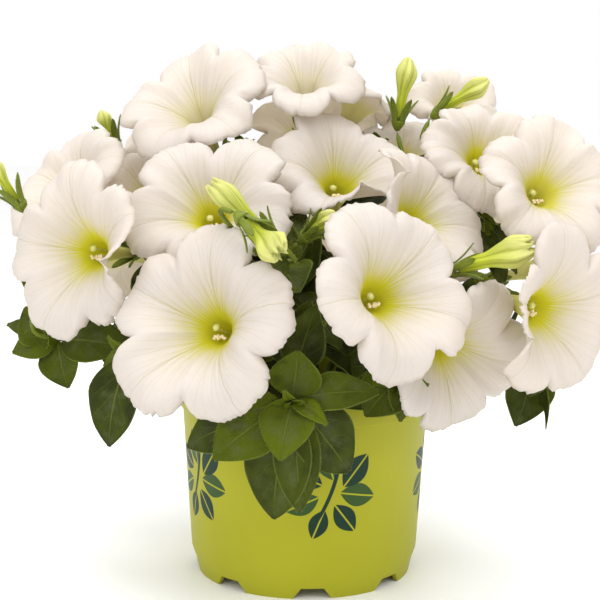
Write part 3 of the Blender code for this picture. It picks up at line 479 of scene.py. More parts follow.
    @classmethod
    def leaf_point(cls, leaf: Leaf, share: float, column: float) -> Vector:
        """A point of a leaf's middle surface, which arches along its length and folds a little at the midrib.

        Args:
            leaf: the leaf.
            share: how far along it, from 0 at its foot to 1 at its tip.
            column: how far across it, from -1 to 1.

        Returns:
            The point, in metres.
        """
        along = leaf.tip - leaf.base
        length = along.length
        along.normalize()
        normal = (leaf.normal - along * leaf.normal.dot(along)).normalized()
        across = along.cross(normal)
        spine = leaf.base + along * length * share + normal * leaf.arch * length * 4 * share * (1 - share)
        half = max(SHOOT.petiole_width / 2, leaf.width / 2 * cls.leaf_width(share))
        return spine + across * half * column + normal * 0.16 * half * abs(column)

    @classmethod
    def leaf(cls, leaf: Leaf) -> Sheet:
        """A leaf's middle surface, with one point at each end and three across each row between.

        Args:
            leaf: the leaf.

        Returns:
            Its points and faces.
        """
        points = [cls.leaf_point(leaf, 0, 0)]
        for share in cls.leaf_rows:
            points += [cls.leaf_point(leaf, share, column) for column in (-1, 0, 1)]
        points.append(cls.leaf_point(leaf, 1, 0))
        faces = [(0, 2, 1), (0, 3, 2)]
        for row in range(len(cls.leaf_rows) - 1):
            a = 1 + 3 * row
            faces += [(a, a + 1, a + 4), (a, a + 4, a + 3), (a + 1, a + 2, a + 4), (a + 2, a + 5, a + 4)]
        a = len(points) - 4
        faces += [(a, a + 1, a + 3), (a + 1, a + 2, a + 3)]
        return points, faces

    @classmethod
    def calyx(cls, foot: Vector, ahead: Vector, spare: float = 0.0) -> Sheet:
        """A plain tube round a calyx and its sepals.

        Args:
            foot: where the calyx ends.
            ahead: the way it points.
            spare: room added round it.

        Returns:
            Its points and faces.
        """
        line = [
            foot - ahead * (FLOWER.calyx_length + 0.003),
            foot - ahead * FLOWER.calyx_length * 0.5,
            foot + ahead * FLOWER.sepal_length,
        ]
        points, faces = [], []
        for (near, far), radius in zip(zip(line, line[1:]), (FLOWER.calyx_radius, FLOWER.sepal_reach * 0.8)):
            ring, quads = cls.tube([near, far], radius + spare, 6)
            faces += [tuple(i + len(points) for i in quad) for quad in quads]
            points += ring
        return points, faces

    @staticmethod
    def bud_frame(bud: Bud) -> tuple[Vector, Vector, Vector, float]:
        """The way a bud points, two directions across it, and its length."""
        along = Vector(bud.tip) - Vector(bud.base)
        length = along.length
        along.normalize()
        right = along.cross(Vector((0.2, 0.3, 1.0))).normalized()
        return along, right, along.cross(right), length

    @classmethod
    def bud(cls, bud: Bud) -> Sheet:
        """A furled bud's surface: a slender tube that swells near the tip, with five twisted pleats.

        Args:
            bud: the bud.

        Returns:
            Its points and faces.
        """
        base = Vector(bud.base)
        along, right, up, length = cls.bud_frame(bud)
        points, sides, rows = [], cls.bud_sides, cls.bud_rows
        for share, swell in rows:
            for s in range(sides):
                turn = tau * s / sides + cls.bud_twist * share
                radius = bud.width / 2 * swell * (1 - 0.16 * swell * (s % 2))
                points.append(base + along * length * share + radius * spoke(right, up, turn))
        faces = [tuple(reversed(f)) for f in cls.ring_faces(len(rows), sides)]
        faces += [tuple(range(sides)), tuple(reversed(range((len(rows) - 1) * sides, len(rows) * sides)))]
        return points, faces


# How rich the throats are that are paler than the rest, from 0 to 1.
PALE_THROATS = {
    "bloom_top": 0.0, "bloom_top_left": 0.12, "bloom_heart": 0.1, "bloom_crown": 0.3, "bloom_high_right": 0.3,
    "bloom_far_left": 0.3, "bloom_side_left": 0.3, "bloom_back_left": 0.5, "bloom_upper_right": 0.8,
}

# Where the tips of small leaves show deep inside the plant.
INNER_LEAVES = (
    (0.006, -0.062, 0.108), (0.014, -0.048, 0.106), (0.092, -0.014, 0.176), (0.080, -0.012, 0.186),
    (0.088, -0.040, 0.143), (0.100, -0.022, 0.150), (0.038, 0.018, 0.226), (0.092, 0.018, 0.222),
    (0.018, -0.064, 0.092), (0.044, -0.054, 0.096), (0.100, -0.054, 0.096), (-0.003, -0.040, 0.179),
    (-0.003, -0.022, 0.180), (0.000, -0.052, 0.176),
)


class Standing:
    """What already stands, each with the shoot or flower that owns it, so that nothing grows through it."""

    def __init__(self) -> None:
        """Starts with nothing standing."""
        self.things = []

    @staticmethod
    def padded(points: list, faces: list, pad: float) -> BVHTree:
        """A sheet moved out by pad on both sides, and once more a little larger, as one tree.

        Args:
            points: the sheet's points.
            faces: its faces.
            pad: how far it moves.

        Returns:
            The tree.
        """
        mesh = bpy.data.meshes.new("test")
        mesh.from_pydata(points, [], faces)
        normals = [v.normal.copy() for v in mesh.vertices]
        bpy.data.meshes.remove(mesh)
        middle = sum(points, Vector()) / len(points)
        outer = [p + n * pad for p, n in zip(points, normals)]
        inner = [p - n * pad for p, n in zip(points, normals)]
        larger = [p + (p - middle).normalized() * pad for p in points]
        shifted = [tuple(i + layer * len(points) for i in face) for layer in range(3) for face in faces]
        return BVHTree.FromPolygons(outer + inner + larger, shifted)

    def add(self, owner: str, points: list, faces: list) -> None:
        """Remembers a surface."""
        self.things.append((owner, BVHTree.FromPolygons(points, faces)))

    def crossings(self, tree: BVHTree, owners: tuple = ()) -> int:
        """How many faces of the tree cross what others own."""
        return sum(len(tree.overlap(other)) for owner, other in self.things if owner not in owners)

    def first_clear(self, candidates: list, tree_of: Callable, owners: tuple = ()) -> tuple:
        """Finds room.

        Args:
            candidates: what may stand, the most wanted first.
            tree_of: gives a candidate's tree.
            owners: whose surfaces may be crossed.

        Returns:
            The first candidate that crosses nothing, or else the one that crosses least, and how much
            it crosses.
        """
        best, least = None, None
        for candidate in candidates:
            found = self.crossings(tree_of(candidate), owners)
            if least is None or found < least:
                best, least = candidate, found
            if found == 0:
                break
        return best, least


class Growth(Surfaces):
    """The rule that says where each flower, bud, stem, stalk and leaf is."""

    def __init__(self) -> None:
        """Starts with nothing grown."""
        self.standing = Standing()
        self.blooms, self.buds, self.grown = [], [], []

    @staticmethod
    def foot_of(bloom: Bloom) -> Vector:
        """Where a flower's calyx ends and its tube begins."""
        back = FLOWER.tube_length + POT.gap + FLOWER.petal_thickness / 2
        return Vector(bloom.throat) - facing(*bloom.faces) * back

    @staticmethod
    def moved_bloom(bloom: Bloom, step: float, sight: float, turn: float, lift: float) -> Bloom:
        """The flower slid along its own axis and along the line of sight, and turned a little."""
        away = (Vector(bloom.throat) - EYE).normalized()
        throat = tuple(Vector(bloom.throat) - facing(*bloom.faces) * step + away * sight)
        return replace(bloom, throat=throat, faces=(bloom.faces[0] + turn, bloom.faces[1] + lift))

    def settle_blooms(self) -> None:
        """Each flower keeps its own place, or gives way by the smallest move that clears what stands."""
        moves, pace = [], 0.003
        for step in range(-6, 9):
            for sight in range(-6, 9):
                for turn, lift in ((0, 0), (10, 0), (-10, 0), (0, 10), (0, -10)):
                    back = abs(step) * (1.0 if step >= 0 else 1.6)
                    cost = back + abs(sight) * (0.5 if sight >= 0 else 0.9) + 0.12 * (abs(turn) + abs(lift))
                    moves.append((cost, pace * step, pace * sight, turn, lift))
        moves.sort()
        for bloom in BLOOMS:
            best, least = None, None
            for _, *move in moves:
                trial = self.moved_bloom(bloom, *move)
                left = self.standing.crossings(self.standing.padded(*self.corolla(trial), SHOOT.clearance))
                if left == 0:
                    cup = self.calyx(self.foot_of(trial), facing(*trial.faces), SHOOT.clearance)
                    left = self.standing.crossings(BVHTree.FromPolygons(*cup))
                if least is None or left < least:
                    best, least = trial, left
                if left == 0:
                    break
            self.standing.add(best.name, *self.corolla(best))
            self.standing.add(best.name, *self.calyx(self.foot_of(best), facing(*best.faces)))
            self.blooms.append(best)

    def bud_room(self, bud: Bud) -> BVHTree:
        """A tree of a bud and its calyx, with room round them."""
        base = Vector(bud.base)
        ring, quads = self.tube([base, Vector(bud.tip)], bud.width / 2 + SHOOT.clearance, 8)
        cup, sides = self.calyx(base, bud.ahead, SHOOT.clearance)
        quads += [tuple(i + len(ring) for i in side) for side in sides]
        return BVHTree.FromPolygons(ring + cup, quads)

    def settle_buds(self) -> None:
        """Each bud keeps its own place, or moves aside by a few millimetres."""
        for bud in BUDS:
            draw = random.Random(bud.name)
            shifts = [Vector()] + [shake(draw, 0.0006, i) for i in range(1, 60)]
            chosen, _ = self.standing.first_clear([bud.moved(shift) for shift in shifts], self.bud_room)
            self.standing.add(bud.name, *self.bud(chosen))
            self.standing.add(bud.name, *self.calyx(Vector(chosen.base), chosen.ahead))
            self.buds.append(chosen)

    def stem_path(self, shoot: Shoot, bend: Vector, count: int = 7) -> list:
        """The stem's line, from the bottom of its hole in the soil."""
        root = Vector((*shoot.root, POT.soil_top - POT.hole_depth + POT.gap))
        collar = Vector((*shoot.root, POT.soil_top + POT.soil_crown + 0.002))
        turn, tip = Vector(shoot.turn) + bend, Vector(shoot.tip) + bend * 0.6
        rise = collar + Vector((0, 0, 0.35 * (turn.z - collar.z)))
        return [root] + self.bezier(collar, rise, turn, tip, count - 1)

    def grow_stems(self) -> None:
        """Each stem keeps to its own line, or bends aside a little where a flower is in the way."""
        for shoot in SHOOTS:
            draw = random.Random(shoot.name)
            bends = [Vector()] + [shake(draw, 0.004 + 0.0004 * i) for i in range(50)]
            room = SHOOT.stem_radius + SHOOT.clearance
            chosen, _ = self.standing.first_clear(
                bends,
                lambda bend: BVHTree.FromPolygons(*self.tube(self.stem_path(shoot, bend), room)),
                (shoot.name, "soil"),
            )
            path = self.stem_path(shoot, chosen)
            self.standing.add(shoot.name, *self.tube(path, SHOOT.stem_radius))
            self.grown.append(Grown(shoot, path))

    def stalk_routes(self, grown: Grown, end: Vector, ahead: Vector) -> list:
        """Ways for a flower stalk from a stem to a calyx.

        Args:
            grown: the shoot.
            end: where the stalk ends.
            ahead: the way that the flower faces.

        Returns:
            The routes, the shortest first.
        """
        draw = random.Random(grown.shoot.name)
        routes = []
        for start in range(3, len(grown.stem)):
            leave = grown.stem[start]
            gap = (end - leave).length
            if gap < 0.010:
                continue
            along = (grown.stem[start] - grown.stem[start - 1]).normalized()
            for ease in (0.45, 0.3, 0.6):
                for lift in (0.0, 0.25, -0.25):
                    first = leave + (along + Vector((0, 0, lift))) * gap * ease
                    last = end - ahead * gap * ease
                    routes.append((gap, self.bezier(leave, first, last, end, 5)))
                    for detour in range(1, 5):
                        swing = shake(draw, 0.006, detour)
                        cost = gap + 0.008 * detour
                        routes.append((cost, self.bezier(leave, first + swing, last + swing * 0.6, end, 5)))
        return [route for _, route in sorted(routes, key=lambda r: r[0])]

    def grow_stalk(self, name: str, foot: Vector, ahead: Vector) -> None:
        """Grows a flower stalk from the nearest shoot that has a clear way to the calyx.

        Args:
            name: the flower or bud.
            foot: where its calyx ends.
            ahead: the way that it points.
        """
        end = foot - ahead * FLOWER.calyx_length
        best = None
        for parent in sorted(self.grown, key=lambda g: min((p - end).length for p in g.stem[3:])):
            route, left = self.standing.first_clear(
                self.stalk_routes(parent, end, ahead),
                lambda r: BVHTree.FromPolygons(*self.tube(r, FLOWER.pedicel_radius + SHOOT.clearance)),
                (parent.shoot.name, name),
            )
            if best is None or left < best[0]:
                best = (left, parent, route)
            if left == 0:
                break
        _, parent, route = best
        self.standing.add(parent.shoot.name, *self.tube(route, FLOWER.pedicel_radius))
        parent.stalks.append((route, foot, ahead))

    def try_leaf(self, grown: Grown, options: list) -> None:
        """Adds the first leaf of the options that grows clear of the rest, if there is one.

        Args:
            grown: the shoot.
            options: the leaves, the most wanted first.
        """

        def tree_of(leaf: Leaf) -> BVHTree:
            """The leaf's tree, with room round it."""
            return self.standing.padded(*self.leaf(leaf), SHOOT.clearance)

        leaf, left = self.standing.first_clear(options, tree_of, (grown.shoot.name,))
        if leaf and left == 0:
            self.standing.add(grown.shoot.name, *self.leaf(leaf))
            grown.leaves.append(leaf)

    def placed_leaves(self, grown: Grown, leaf: Leaf) -> list:
        """A listed leaf, joined to its stem, and the same leaf nudged a little."""
        draw = random.Random(f"{grown.shoot.name}{leaf.width}{leaf.tip.x}")
        near = leaf.base or leaf.tip
        base = min(grown.stem[3:], key=lambda p: (p - near).length)
        return [replace(leaf, tip=leaf.tip + shake(draw, 0.0005, i), base=base) for i in range(40)]

    def joint_leaves(self, grown: Grown, share: float, number: int, draw: random.Random) -> list:
        """Leaves that one joint of the stem may carry.

        Args:
            grown: the shoot.
            share: how far up its stem the joint is.
            number: which joint it is, counted from the soil.
            draw: the source of chance.

        Returns:
            The leaves: turned round the stem, then shorter or flatter.
        """
        position = share * (len(grown.stem) - 4) + 3
        low = min(int(position), len(grown.stem) - 2)
        base = grown.stem[low].lerp(grown.stem[low + 1], position - low)
        along = (grown.stem[low + 1] - grown.stem[low]).normalized()
        side = along.cross(Vector((0.4, 0.2, 1.0))).normalized()
        other = along.cross(side)
        length = 0.050 - 0.020 * share + draw.uniform(-0.005, 0.005)
        options = []
        for shrink in (1.0, 0.8, 0.62):
            for twist in range(9):
                turn = number * GOLDEN_TURN + twist * radians(40)
                for spread in (62, 85, 40):
                    lean = radians(spread)
                    away = spoke(side, other, turn)
                    ahead = spoke(along, away, lean)
                    normal = (sin(lean) * along - cos(lean) * away) + Vector((0, 0, 0.4))
                    reach = length * shrink
                    tip = base + ahead * reach - Vector((0, 0, 0.15 * reach))
                    options.append(Leaf(tip, normal, reach * 0.52, base, 0.10))
        return options

    def bracts(self, route: list, draw: random.Random) -> list:
        """Small leaves where a flower stalk has run a third of its way.

        Args:
            route: the stalk's line.
            draw: the source of chance.

        Returns:
            The leaves, turned round the stalk.
        """
        base = route[2]
        along = (route[3] - route[1]).normalized()
        side = along.cross(Vector((0.1, 0.7, 0.4))).normalized()
        other = along.cross(side)
        start = draw.uniform(0, tau)
        options = []
        for twist in range(8):
            away = spoke(side, other, start + twist * tau / 8)
            tip = base + (along * 0.7 + away).normalized() * SHOOT.bract_length
            options.append(Leaf(tip, along - away, SHOOT.bract_length * 0.42, base, 0.08))
        return options

    def grow(self) -> None:
        """Grows the whole plant: buds, flowers, stems, stalks, listed leaves, and other leaves."""
        rim = [Vector((0, 0, z)) for z in (0.0, 0.03, 0.06, POT.height)]
        self.standing.add("pot", *self.tube(rim, POT.rim_radius + POT.gap, 24))
        mouth = [Vector((0, 0, z)) for z in (POT.soil_top, POT.height)]
        self.standing.add("pot", *self.tube(mouth, POT.rim_radius - 0.004, 24))
        crown = POT.soil_top + POT.soil_crown
        disc, _ = self.tube([Vector((0, 0, crown)), Vector((0, 0, crown + 0.0001))], 0.055, 24)
        self.standing.add("soil", disc, [tuple(range(24))])
        self.settle_buds()
        self.settle_blooms()
        self.grow_stems()
        for bloom in self.blooms:
            self.grow_stalk(bloom.name, self.foot_of(bloom), facing(*bloom.faces))
        for bud in self.buds:
            self.grow_stalk(bud.name, Vector(bud.base) - bud.ahead * POT.gap, bud.ahead)
        for shoot in self.grown:
            for leaf in shoot.shoot.leaves:
                self.try_leaf(shoot, self.placed_leaves(shoot, leaf))
        draw = random.Random(SHOOT.seed)
        for number in range(SHOOT.leaves_a_shoot):
            for shoot in self.grown:
                share = (number + 0.6) / SHOOT.leaves_a_shoot
                if number < shoot.shoot.more and len(shoot.leaves) < SHOOT.most_leaves:
                    self.try_leaf(shoot, self.joint_leaves(shoot, share, number, draw))
        for shoot in self.grown:
            for route, _, _ in shoot.stalks[::3]:
                self.try_leaf(shoot, self.bracts(route, draw))
        self.fill(draw)
        LOG.info("grown: %d flowers, %d leaves", len(self.blooms), sum(len(g.leaves) for g in self.grown))

    def fill(self, draw: random.Random) -> None:
        """Grows smaller leaves into the dark gaps that are left deep inside the plant.

        Args:
            draw: the source of chance.
        """
        for number in range(6):
            for shoot in self.grown:
                options = self.joint_leaves(shoot, 0.06 + 0.15 * number, number + 5, draw)
                inner = [l for l in options if hypot(l.tip.x, l.tip.y) < 0.080 and l.tip.z > 0.090]
                self.try_leaf(shoot, inner[: len(inner) // 2] or inner)
        length, width, arch = 0.028, 0.016, 0.10
        for place in INNER_LEAVES:
            tip = Vector(place)
            stems = [(i, p) for i, grown in enumerate(self.grown) for p in grown.stem[3:]]
            _, number, base = min((abs((p - tip).length - length), i, p) for i, p in stems)
            normal = Vector((tip.x, tip.y - 0.10, 0.08)).normalized()
            options = [Leaf(tip + shake(draw, 0.0006, i), normal, width, base, arch) for i in range(30)]
            self.try_leaf(self.grown[number], options)


def maths(operation: str, turned: bool = False) -> Callable:
    """An operator that adds one Math node for two values, the second one first where it is turned."""

    def method(self: "Wire", other: "Wire | float") -> "Wire":
        """The node's result."""
        return self.sum(operation, other, self) if turned else self.sum(operation, self, other)

    return method


class Wire:
    """A node's output that takes part in sums as a number does."""

    def __init__(self, paint: "Paint", socket: bpy.types.NodeSocket) -> None:
        """Wraps a socket of the material that is being painted."""
        self.paint, self.socket = paint, socket

    def sum(self, operation: str, *values: "Wire | float") -> "Wire":
        """The result of one Math node on these values."""
        return self.paint.node("ShaderNodeMath", {"operation": operation}, dict(enumerate(values)))

    __add__ = __radd__ = maths("ADD")
    __sub__, __rsub__ = maths("SUBTRACT"), maths("SUBTRACT", turned=True)
    __mul__ = __rmul__ = maths("MULTIPLY")
    __truediv__, __pow__ = maths("DIVIDE"), maths("POWER")
    least, most = maths("MINIMUM"), maths("MAXIMUM")

    def __abs__(self) -> "Wire":
        """The size of self."""
        return self.sum("ABSOLUTE", self)

    def fract(self) -> "Wire":
        """What is left of self over a whole number."""
        return self.sum("FRACT", self)

    def within(self, low: float, high: float) -> "Wire":
        """0 where self is at low, 1 where it is at high, and a smooth step between."""
        settings = {"interpolation_type": "SMOOTHSTEP"}
        sockets = {"Value": self, "From Min": low, "From Max": high}
        return self.paint.node("ShaderNodeMapRange", settings, sockets)


@dataclass(frozen=True)
class Thin:
    """Light through a thin sheet: its share, its colour, and a second colour where a mask is 1."""

    share: float
    colour: tuple
    deep: tuple = (0.0, 0.0, 0.0)
    mask: Wire | None = None


class Paint:
    """A material in the making."""

    def __init__(self, name: str) -> None:
        """Starts an empty material."""
        self.material = bpy.data.materials.new(name)
        self.material.use_nodes = True
        self.tree = self.material.node_tree
        self.tree.nodes.clear()

    def node(
        self, kind: str, settings: dict | None = None, sockets: dict | None = None, out: int | str = 0
    ) -> Wire:
        """Adds a node.

        Args:
            kind: the node's type.
            settings: its own settings.
            sockets: a value or a wire for each input, by its name or number.
            out: the output that is wanted.

        Returns:
            That output.
        """
        made = self.tree.nodes.new(kind)
        for key, value in (settings or {}).items():
            setattr(made, key, value)
        for key, value in (sockets or {}).items():
            if isinstance(value, Wire):
                self.tree.links.new(value.socket, made.inputs[key])
            else:
                made.inputs[key].default_value = value
        return Wire(self, made.outputs[out])

    def split(self, vector: Wire) -> list:
        """The three numbers of a vector."""
        outs = self.node("ShaderNodeSeparateXYZ", None, {0: vector}).socket.node.outputs
        return [Wire(self, out) for out in outs]

    def joined(self, x: Wire | float, y: Wire | float, z: Wire | float = 0.0) -> Wire:
        """A vector from three numbers."""
        return self.node("ShaderNodeCombineXYZ", None, {0: x, 1: y, 2: z})

    def uv(self) -> list:
        """The piece's own UV map, as two numbers."""
        return self.split(self.node("ShaderNodeTexCoord", None, None, "UV"))[:2]

    def place(self) -> Wire:
        """The place on the object, in metres."""
        return self.node("ShaderNodeTexCoord", None, None, "Object")

    def own(self, name: str) -> Wire:
        """A number that the piece carries for each of its points."""
        return self.node("ShaderNodeAttribute", {"attribute_name": name}, None, "Fac")

    def noise(self, vector: Wire, scale: float, detail: float = 2.0, rough: float = 0.5) -> Wire:
        """Soft noise from 0 to 1."""
        sockets = {"Vector": vector, "Scale": scale, "Detail": detail, "Roughness": rough}
        return self.node("ShaderNodeTexNoise", None, sockets)

    def mix(self, share: Wire | float, first: Wire | tuple, second: Wire | tuple) -> Wire:
        """A colour between two others."""
        first, second = (c if isinstance(c, Wire) else (*c, 1.0) for c in (first, second))
        return self.node("ShaderNodeMix", {"data_type": "RGBA"}, {0: share, 6: first, 7: second}, 2)

    def bump(self, height: Wire, depth: float, strength: float = 1.0) -> Wire:
        """A normal from a height that runs from 0 to 1 and is depth metres deep."""
        sockets = {"Height": height, "Distance": depth, "Strength": strength}
        return self.node("ShaderNodeBump", None, sockets, "Normal")

    def finish(
        self,
        colour: Wire,
        rough: Wire | float,
        normal: Wire | None = None,
        thin: Thin | None = None,
        **more: float,
    ) -> bpy.types.Material:
        """Ends the material with its shader.

        Args:
            colour: the surface's colour.
            rough: its roughness.
            normal: its bumped normal.
            thin: the light that comes through it, as through a petal.
            more: constants for the shader's other sockets.

        Returns:
            The material.
        """
        sockets = {"Base Color": colour, "Roughness": rough}
        if normal:
            sockets["Normal"] = normal
        sockets.update({name.replace("_", " "): value for name, value in more.items()})
        shader = self.node("ShaderNodeBsdfPrincipled", None, sockets)
        if thin and thin.share:
            through = self.node("ShaderNodeBsdfTranslucent", None, {"Color": (*thin.colour, 1.0)})
            if thin.mask:
                deep = self.node("ShaderNodeBsdfTranslucent", None, {"Color": (*thin.deep, 1.0)})
                through = self.node("ShaderNodeMixShader", None, {0: thin.mask, 1: through, 2: deep})
            shader = self.node("ShaderNodeMixShader", None, {0: thin.share, 1: shader, 2: through})
        output = self.tree.nodes.new("ShaderNodeOutputMaterial")
        self.tree.links.new(shader.socket, output.inputs["Surface"])
        return self.material


@dataclass(frozen=True)
class PetalFinish:
    """Soft off-white petals with fine branching veins, a lemon halo, a lime throat and an olive tube."""

    name: str = "petal cream"
    white: tuple = (0.765, 0.716, 0.692)
    shade: tuple = (0.735, 0.685, 0.640)
    vein: tuple = (0.42, 0.39, 0.09)
    lemon: tuple = (0.70, 0.65, 0.12)
    throat: tuple = (0.68, 0.64, 0.012)
    line: tuple = (0.36, 0.37, 0.010)
    glow: tuple = (0.84, 0.76, 0.62)
    throat_glow: tuple = (0.86, 0.84, 0.04)
    outside: tuple = (0.66, 0.64, 0.28)
    olive: tuple = (0.46, 0.47, 0.010)
    tube_share: float = 0.25
    sheer: float = 0.42
    rough: float = 0.55
    depth: float = 0.0006
    branches: tuple = (
        (0.07, 1.6, 0.9), (0.14, 1.2, 0.6), (0.22, 1.0, 0.8),
        (0.30, 0.8, 0.5), (0.38, 0.8, 0.6), (0.46, 0.7, 0.4),
    )

    def material(self) -> bpy.types.Material:
        """Paints the material.

        Returns:
            The material.
        """
        paint = Paint(self.name)
        u, v = paint.uv()
        out = ((v - self.tube_share) / (1 - self.tube_share)).most(0.0)
        deep = (v / self.tube_share).least(1.0)
        place = paint.place()
        wander = paint.noise(place, 260.0, 2.0) - 0.5
        lobe = (u * LOBES + 0.5 + wander * 0.035).fract() - 0.5
        side, fineness = abs(lobe), out * 150 + 26
        veins = 1 - (side * fineness).within(0.0, 1.0)
        for share, bend, spread in self.branches:
            gap = abs(side - (out**bend * spread + (1 - spread)) * share + wander * 0.02) * fineness
            veins = veins.most((1 - gap.within(0.0, 1.0)) * (0.90 - out * 0.55) * (0.6 + spread * 0.45))
        net = paint.noise(paint.joined(u * 260, out * 6.5), 1.0, 3.0, 0.65)
        fine = (net - 0.5) * 2
        streak = (veins * 0.85 + fine * 0.35).most(0.0)
        rays = 1 - (abs((u * (LOBES * 9) + wander * 0.6).fract() - 0.5) * 2).within(0.0, 0.45)
        rich, back = paint.own("tone"), paint.own("back")
        halo = 1 - (out + (0.5 - net) * 0.20 - veins * 0.12 - rays * 0.03).within(0.0, 0.30)
        halo = halo * (rich * 0.7 + 0.3)
        bright = (1 - (out - veins * 0.06 - rays * 0.03 + (0.5 - net) * 0.08).within(-0.02, 0.15)) * rich
        middle = 1 - (side * (out * 190 + 34)).within(0.0, 1.0)
        cloud = paint.noise(place, 45.0, 2.0)
        colour = paint.mix(cloud.within(0.35, 0.75) * 0.35, self.white, self.shade)
        colour = paint.mix(streak.least(1.0) * (1 - out * 0.45) * 0.78, colour, self.vein)
        colour = paint.mix(middle * (1 - out * 0.75) * 0.62, colour, self.vein)
        colour = paint.mix((1 - (out - veins * 0.10).within(0.05, 0.62)) * rich * 0.16, colour, self.lemon)
        colour = paint.mix(halo * 0.50, colour, self.lemon)
        colour = paint.mix(bright * 0.94, colour, self.throat)
        colour = paint.mix(rays * (1 - out.within(0.0, 0.26)) * rich * 0.34, colour, self.line)
        colour = paint.mix((1 - deep.within(0.0, 0.62)) * 0.85, colour, self.olive)
        colour = paint.mix(back * (1 - out.within(0.0, 0.30)) * 0.80, colour, self.outside)
        height = veins * -0.25 + fine * 0.22 + cloud * 0.6
        thin = Thin(self.sheer, self.glow, self.throat_glow, bright.most(halo * 0.5) * (1 - back * 0.5))
        normal = paint.bump(height, self.depth, 0.6)
        return paint.finish(colour, self.rough, normal, thin, Specular_IOR_Level=0.3)


@dataclass(frozen=True)
class LeafFinish:
    """Matt green leaves, with a pale midrib, arching side veins and quilted flesh between them."""

    name: str = "leaf green"
    dark: tuple = (0.022, 0.028, 0.007)
    green: tuple = (0.052, 0.068, 0.006)
    young: tuple = (0.130, 0.172, 0.003)
    # The pale green of the midrib and veins, and of the leaf's edge, where it is partly painted rim light.
    rib: tuple = (0.165, 0.205, 0.035)
    # The greyish green of the pale patches on the leaves' faces: painted sheen of their down.
    painted_down_sheen: tuple = (0.108, 0.124, 0.054)
    glow: tuple = (0.090, 0.130, 0.004)
    sheer: float = 0.12
    depth: float = 0.0008

    def material(self) -> bpy.types.Material:
        """Paints the material.

        Returns:
            The material.
        """
        paint = Paint(self.name)
        u, v = paint.uv()
        place = paint.place()
        wander = paint.noise(place, 220.0, 2.0) - 0.5
        side = abs(u - 0.5 + wander * 0.02) * 2
        rib = 1 - (side * (v * 14 + 13)).within(0.25, 1.15)
        ladder = (side_veins(v, side) + wander * 0.5).fract() - 0.5
        ladder = (1 - (abs(ladder) * 2).within(0.0, 0.15)) * (1 - side.within(0.55, 0.95))
        veins = rib.most(ladder * 0.42)
        sockets = {"Vector": place, "Scale": 620.0}
        cells = paint.node("ShaderNodeTexVoronoi", {"feature": "DISTANCE_TO_EDGE"}, sockets).within(0.0, 0.16)
        cloud = paint.noise(place, 70.0, 3.0)
        blot = paint.noise(place, 97.0, 4.0).within(0.52, 0.68)
        tone = paint.own("tone")
        # bloom marks pale patches in the middle of the leaf: painted sheen of the down on its face.
        bloom = paint.noise(place, 160.0, 3.0).within(0.4, 0.75) * (1 - side.within(0.3, 0.95))
        colour = paint.mix(cloud.within(0.3, 0.7), self.dark, self.green)
        colour = paint.mix(tone * 0.8, colour, self.young)
        colour = paint.mix(blot * 0.50, colour, self.dark)
        colour = paint.mix(bloom * 0.50, colour, self.painted_down_sheen)
        # The pale line along the leaf's edge, in the rib colour, is partly its fringe of hairs and partly
        # painted rim light.
        colour = paint.mix((veins * 0.48).most(side.within(0.94, 1.0) * 0.62), colour, self.rib)
        height = (1 - veins) * 0.8 + cells * 0.22
        normal, thin = paint.bump(height, self.depth, 0.7), Thin(self.sheer, self.glow)
        return paint.finish(colour, 0.52 + cloud * 0.18, normal, thin, Specular_IOR_Level=0.08)


@dataclass(frozen=True)
class StemFinish:
    """Fresh green skin of stems, stalks and sepals, finely lined along its length."""

    name: str = "stem green"
    dark: tuple = (0.100, 0.130, 0.008)
    light: tuple = (0.220, 0.270, 0.030)
    sheer: float = 0.08
    depth: float = 0.0003

    def material(self) -> bpy.types.Material:
        """Paints the material.

        Returns:
            The material.
        """
        paint = Paint(self.name)
        u, v = paint.uv()
        lines = paint.noise(paint.joined(u * 26, v * 3), 1.0, 2.0)
        cloud = paint.noise(paint.place(), 120.0, 3.0)
        colour = paint.mix((cloud * 0.6 + lines * 0.5).within(0.3, 0.8), self.dark, self.light)
        normal, thin = paint.bump(lines, self.depth, 0.6), Thin(self.sheer, self.light)
        return paint.finish(colour, 0.5, normal, thin, Specular_IOR_Level=0.2)


@dataclass(frozen=True)
class HairFinish:
    """The pale down on stems, sepals and leaf edges."""

    name: str = "pale down"
    dark: tuple = (0.42, 0.50, 0.16)
    light: tuple = (0.56, 0.62, 0.30)
    glow: tuple = (0.50, 0.56, 0.24)
    sheer: float = 0.35

    def material(self) -> bpy.types.Material:
        """Paints the material."""
        paint = Paint(self.name)
        colour = paint.mix(paint.noise(paint.place(), 300.0, 1.0), self.dark, self.light)
        return paint.finish(colour, 0.5, None, Thin(self.sheer, self.glow))


@dataclass(frozen=True)
class BudFinish:
    """Furled buds: lime pleats with darker lines between them, paler towards the mouth."""

    name: str = "bud lime"
    lime: tuple = (0.49, 0.55, 0.026)
    line: tuple = (0.26, 0.31, 0.012)
    pale: tuple = (0.72, 0.70, 0.29)
    glow: tuple = (0.58, 0.58, 0.08)
    sheer: float = 0.18
    depth: float = 0.0006

    def material(self) -> bpy.types.Material:
        """Paints the material.

        Returns:
            The material.
        """
        paint = Paint(self.name)
        u, v = paint.uv()
        lobe = abs((u * LOBES).fract() - 0.5) * 2
        net = paint.noise(paint.joined(u * 60, v * 7), 1.0, 3.0)
        groove = 1 - (lobe + (net - 0.5) * 0.55).within(0.02, 0.34)
        rib = 1 - ((1 - lobe) + (net - 0.5) * 0.2).within(0.0, 0.22)
        colour = paint.mix(v.within(0.25, 0.95) * 0.75, self.lime, self.pale)
        lines = (groove * 0.58).most(rib * 0.38) * (1 - v.within(0.60, 1.0) * 0.7)
        colour = paint.mix(lines, colour, self.line)
        normal, thin = paint.bump(net * 0.9 - groove * 0.5, self.depth, 0.6), Thin(self.sheer, self.glow)
        return paint.finish(colour, 0.5, normal, thin, Specular_IOR_Level=0.25)


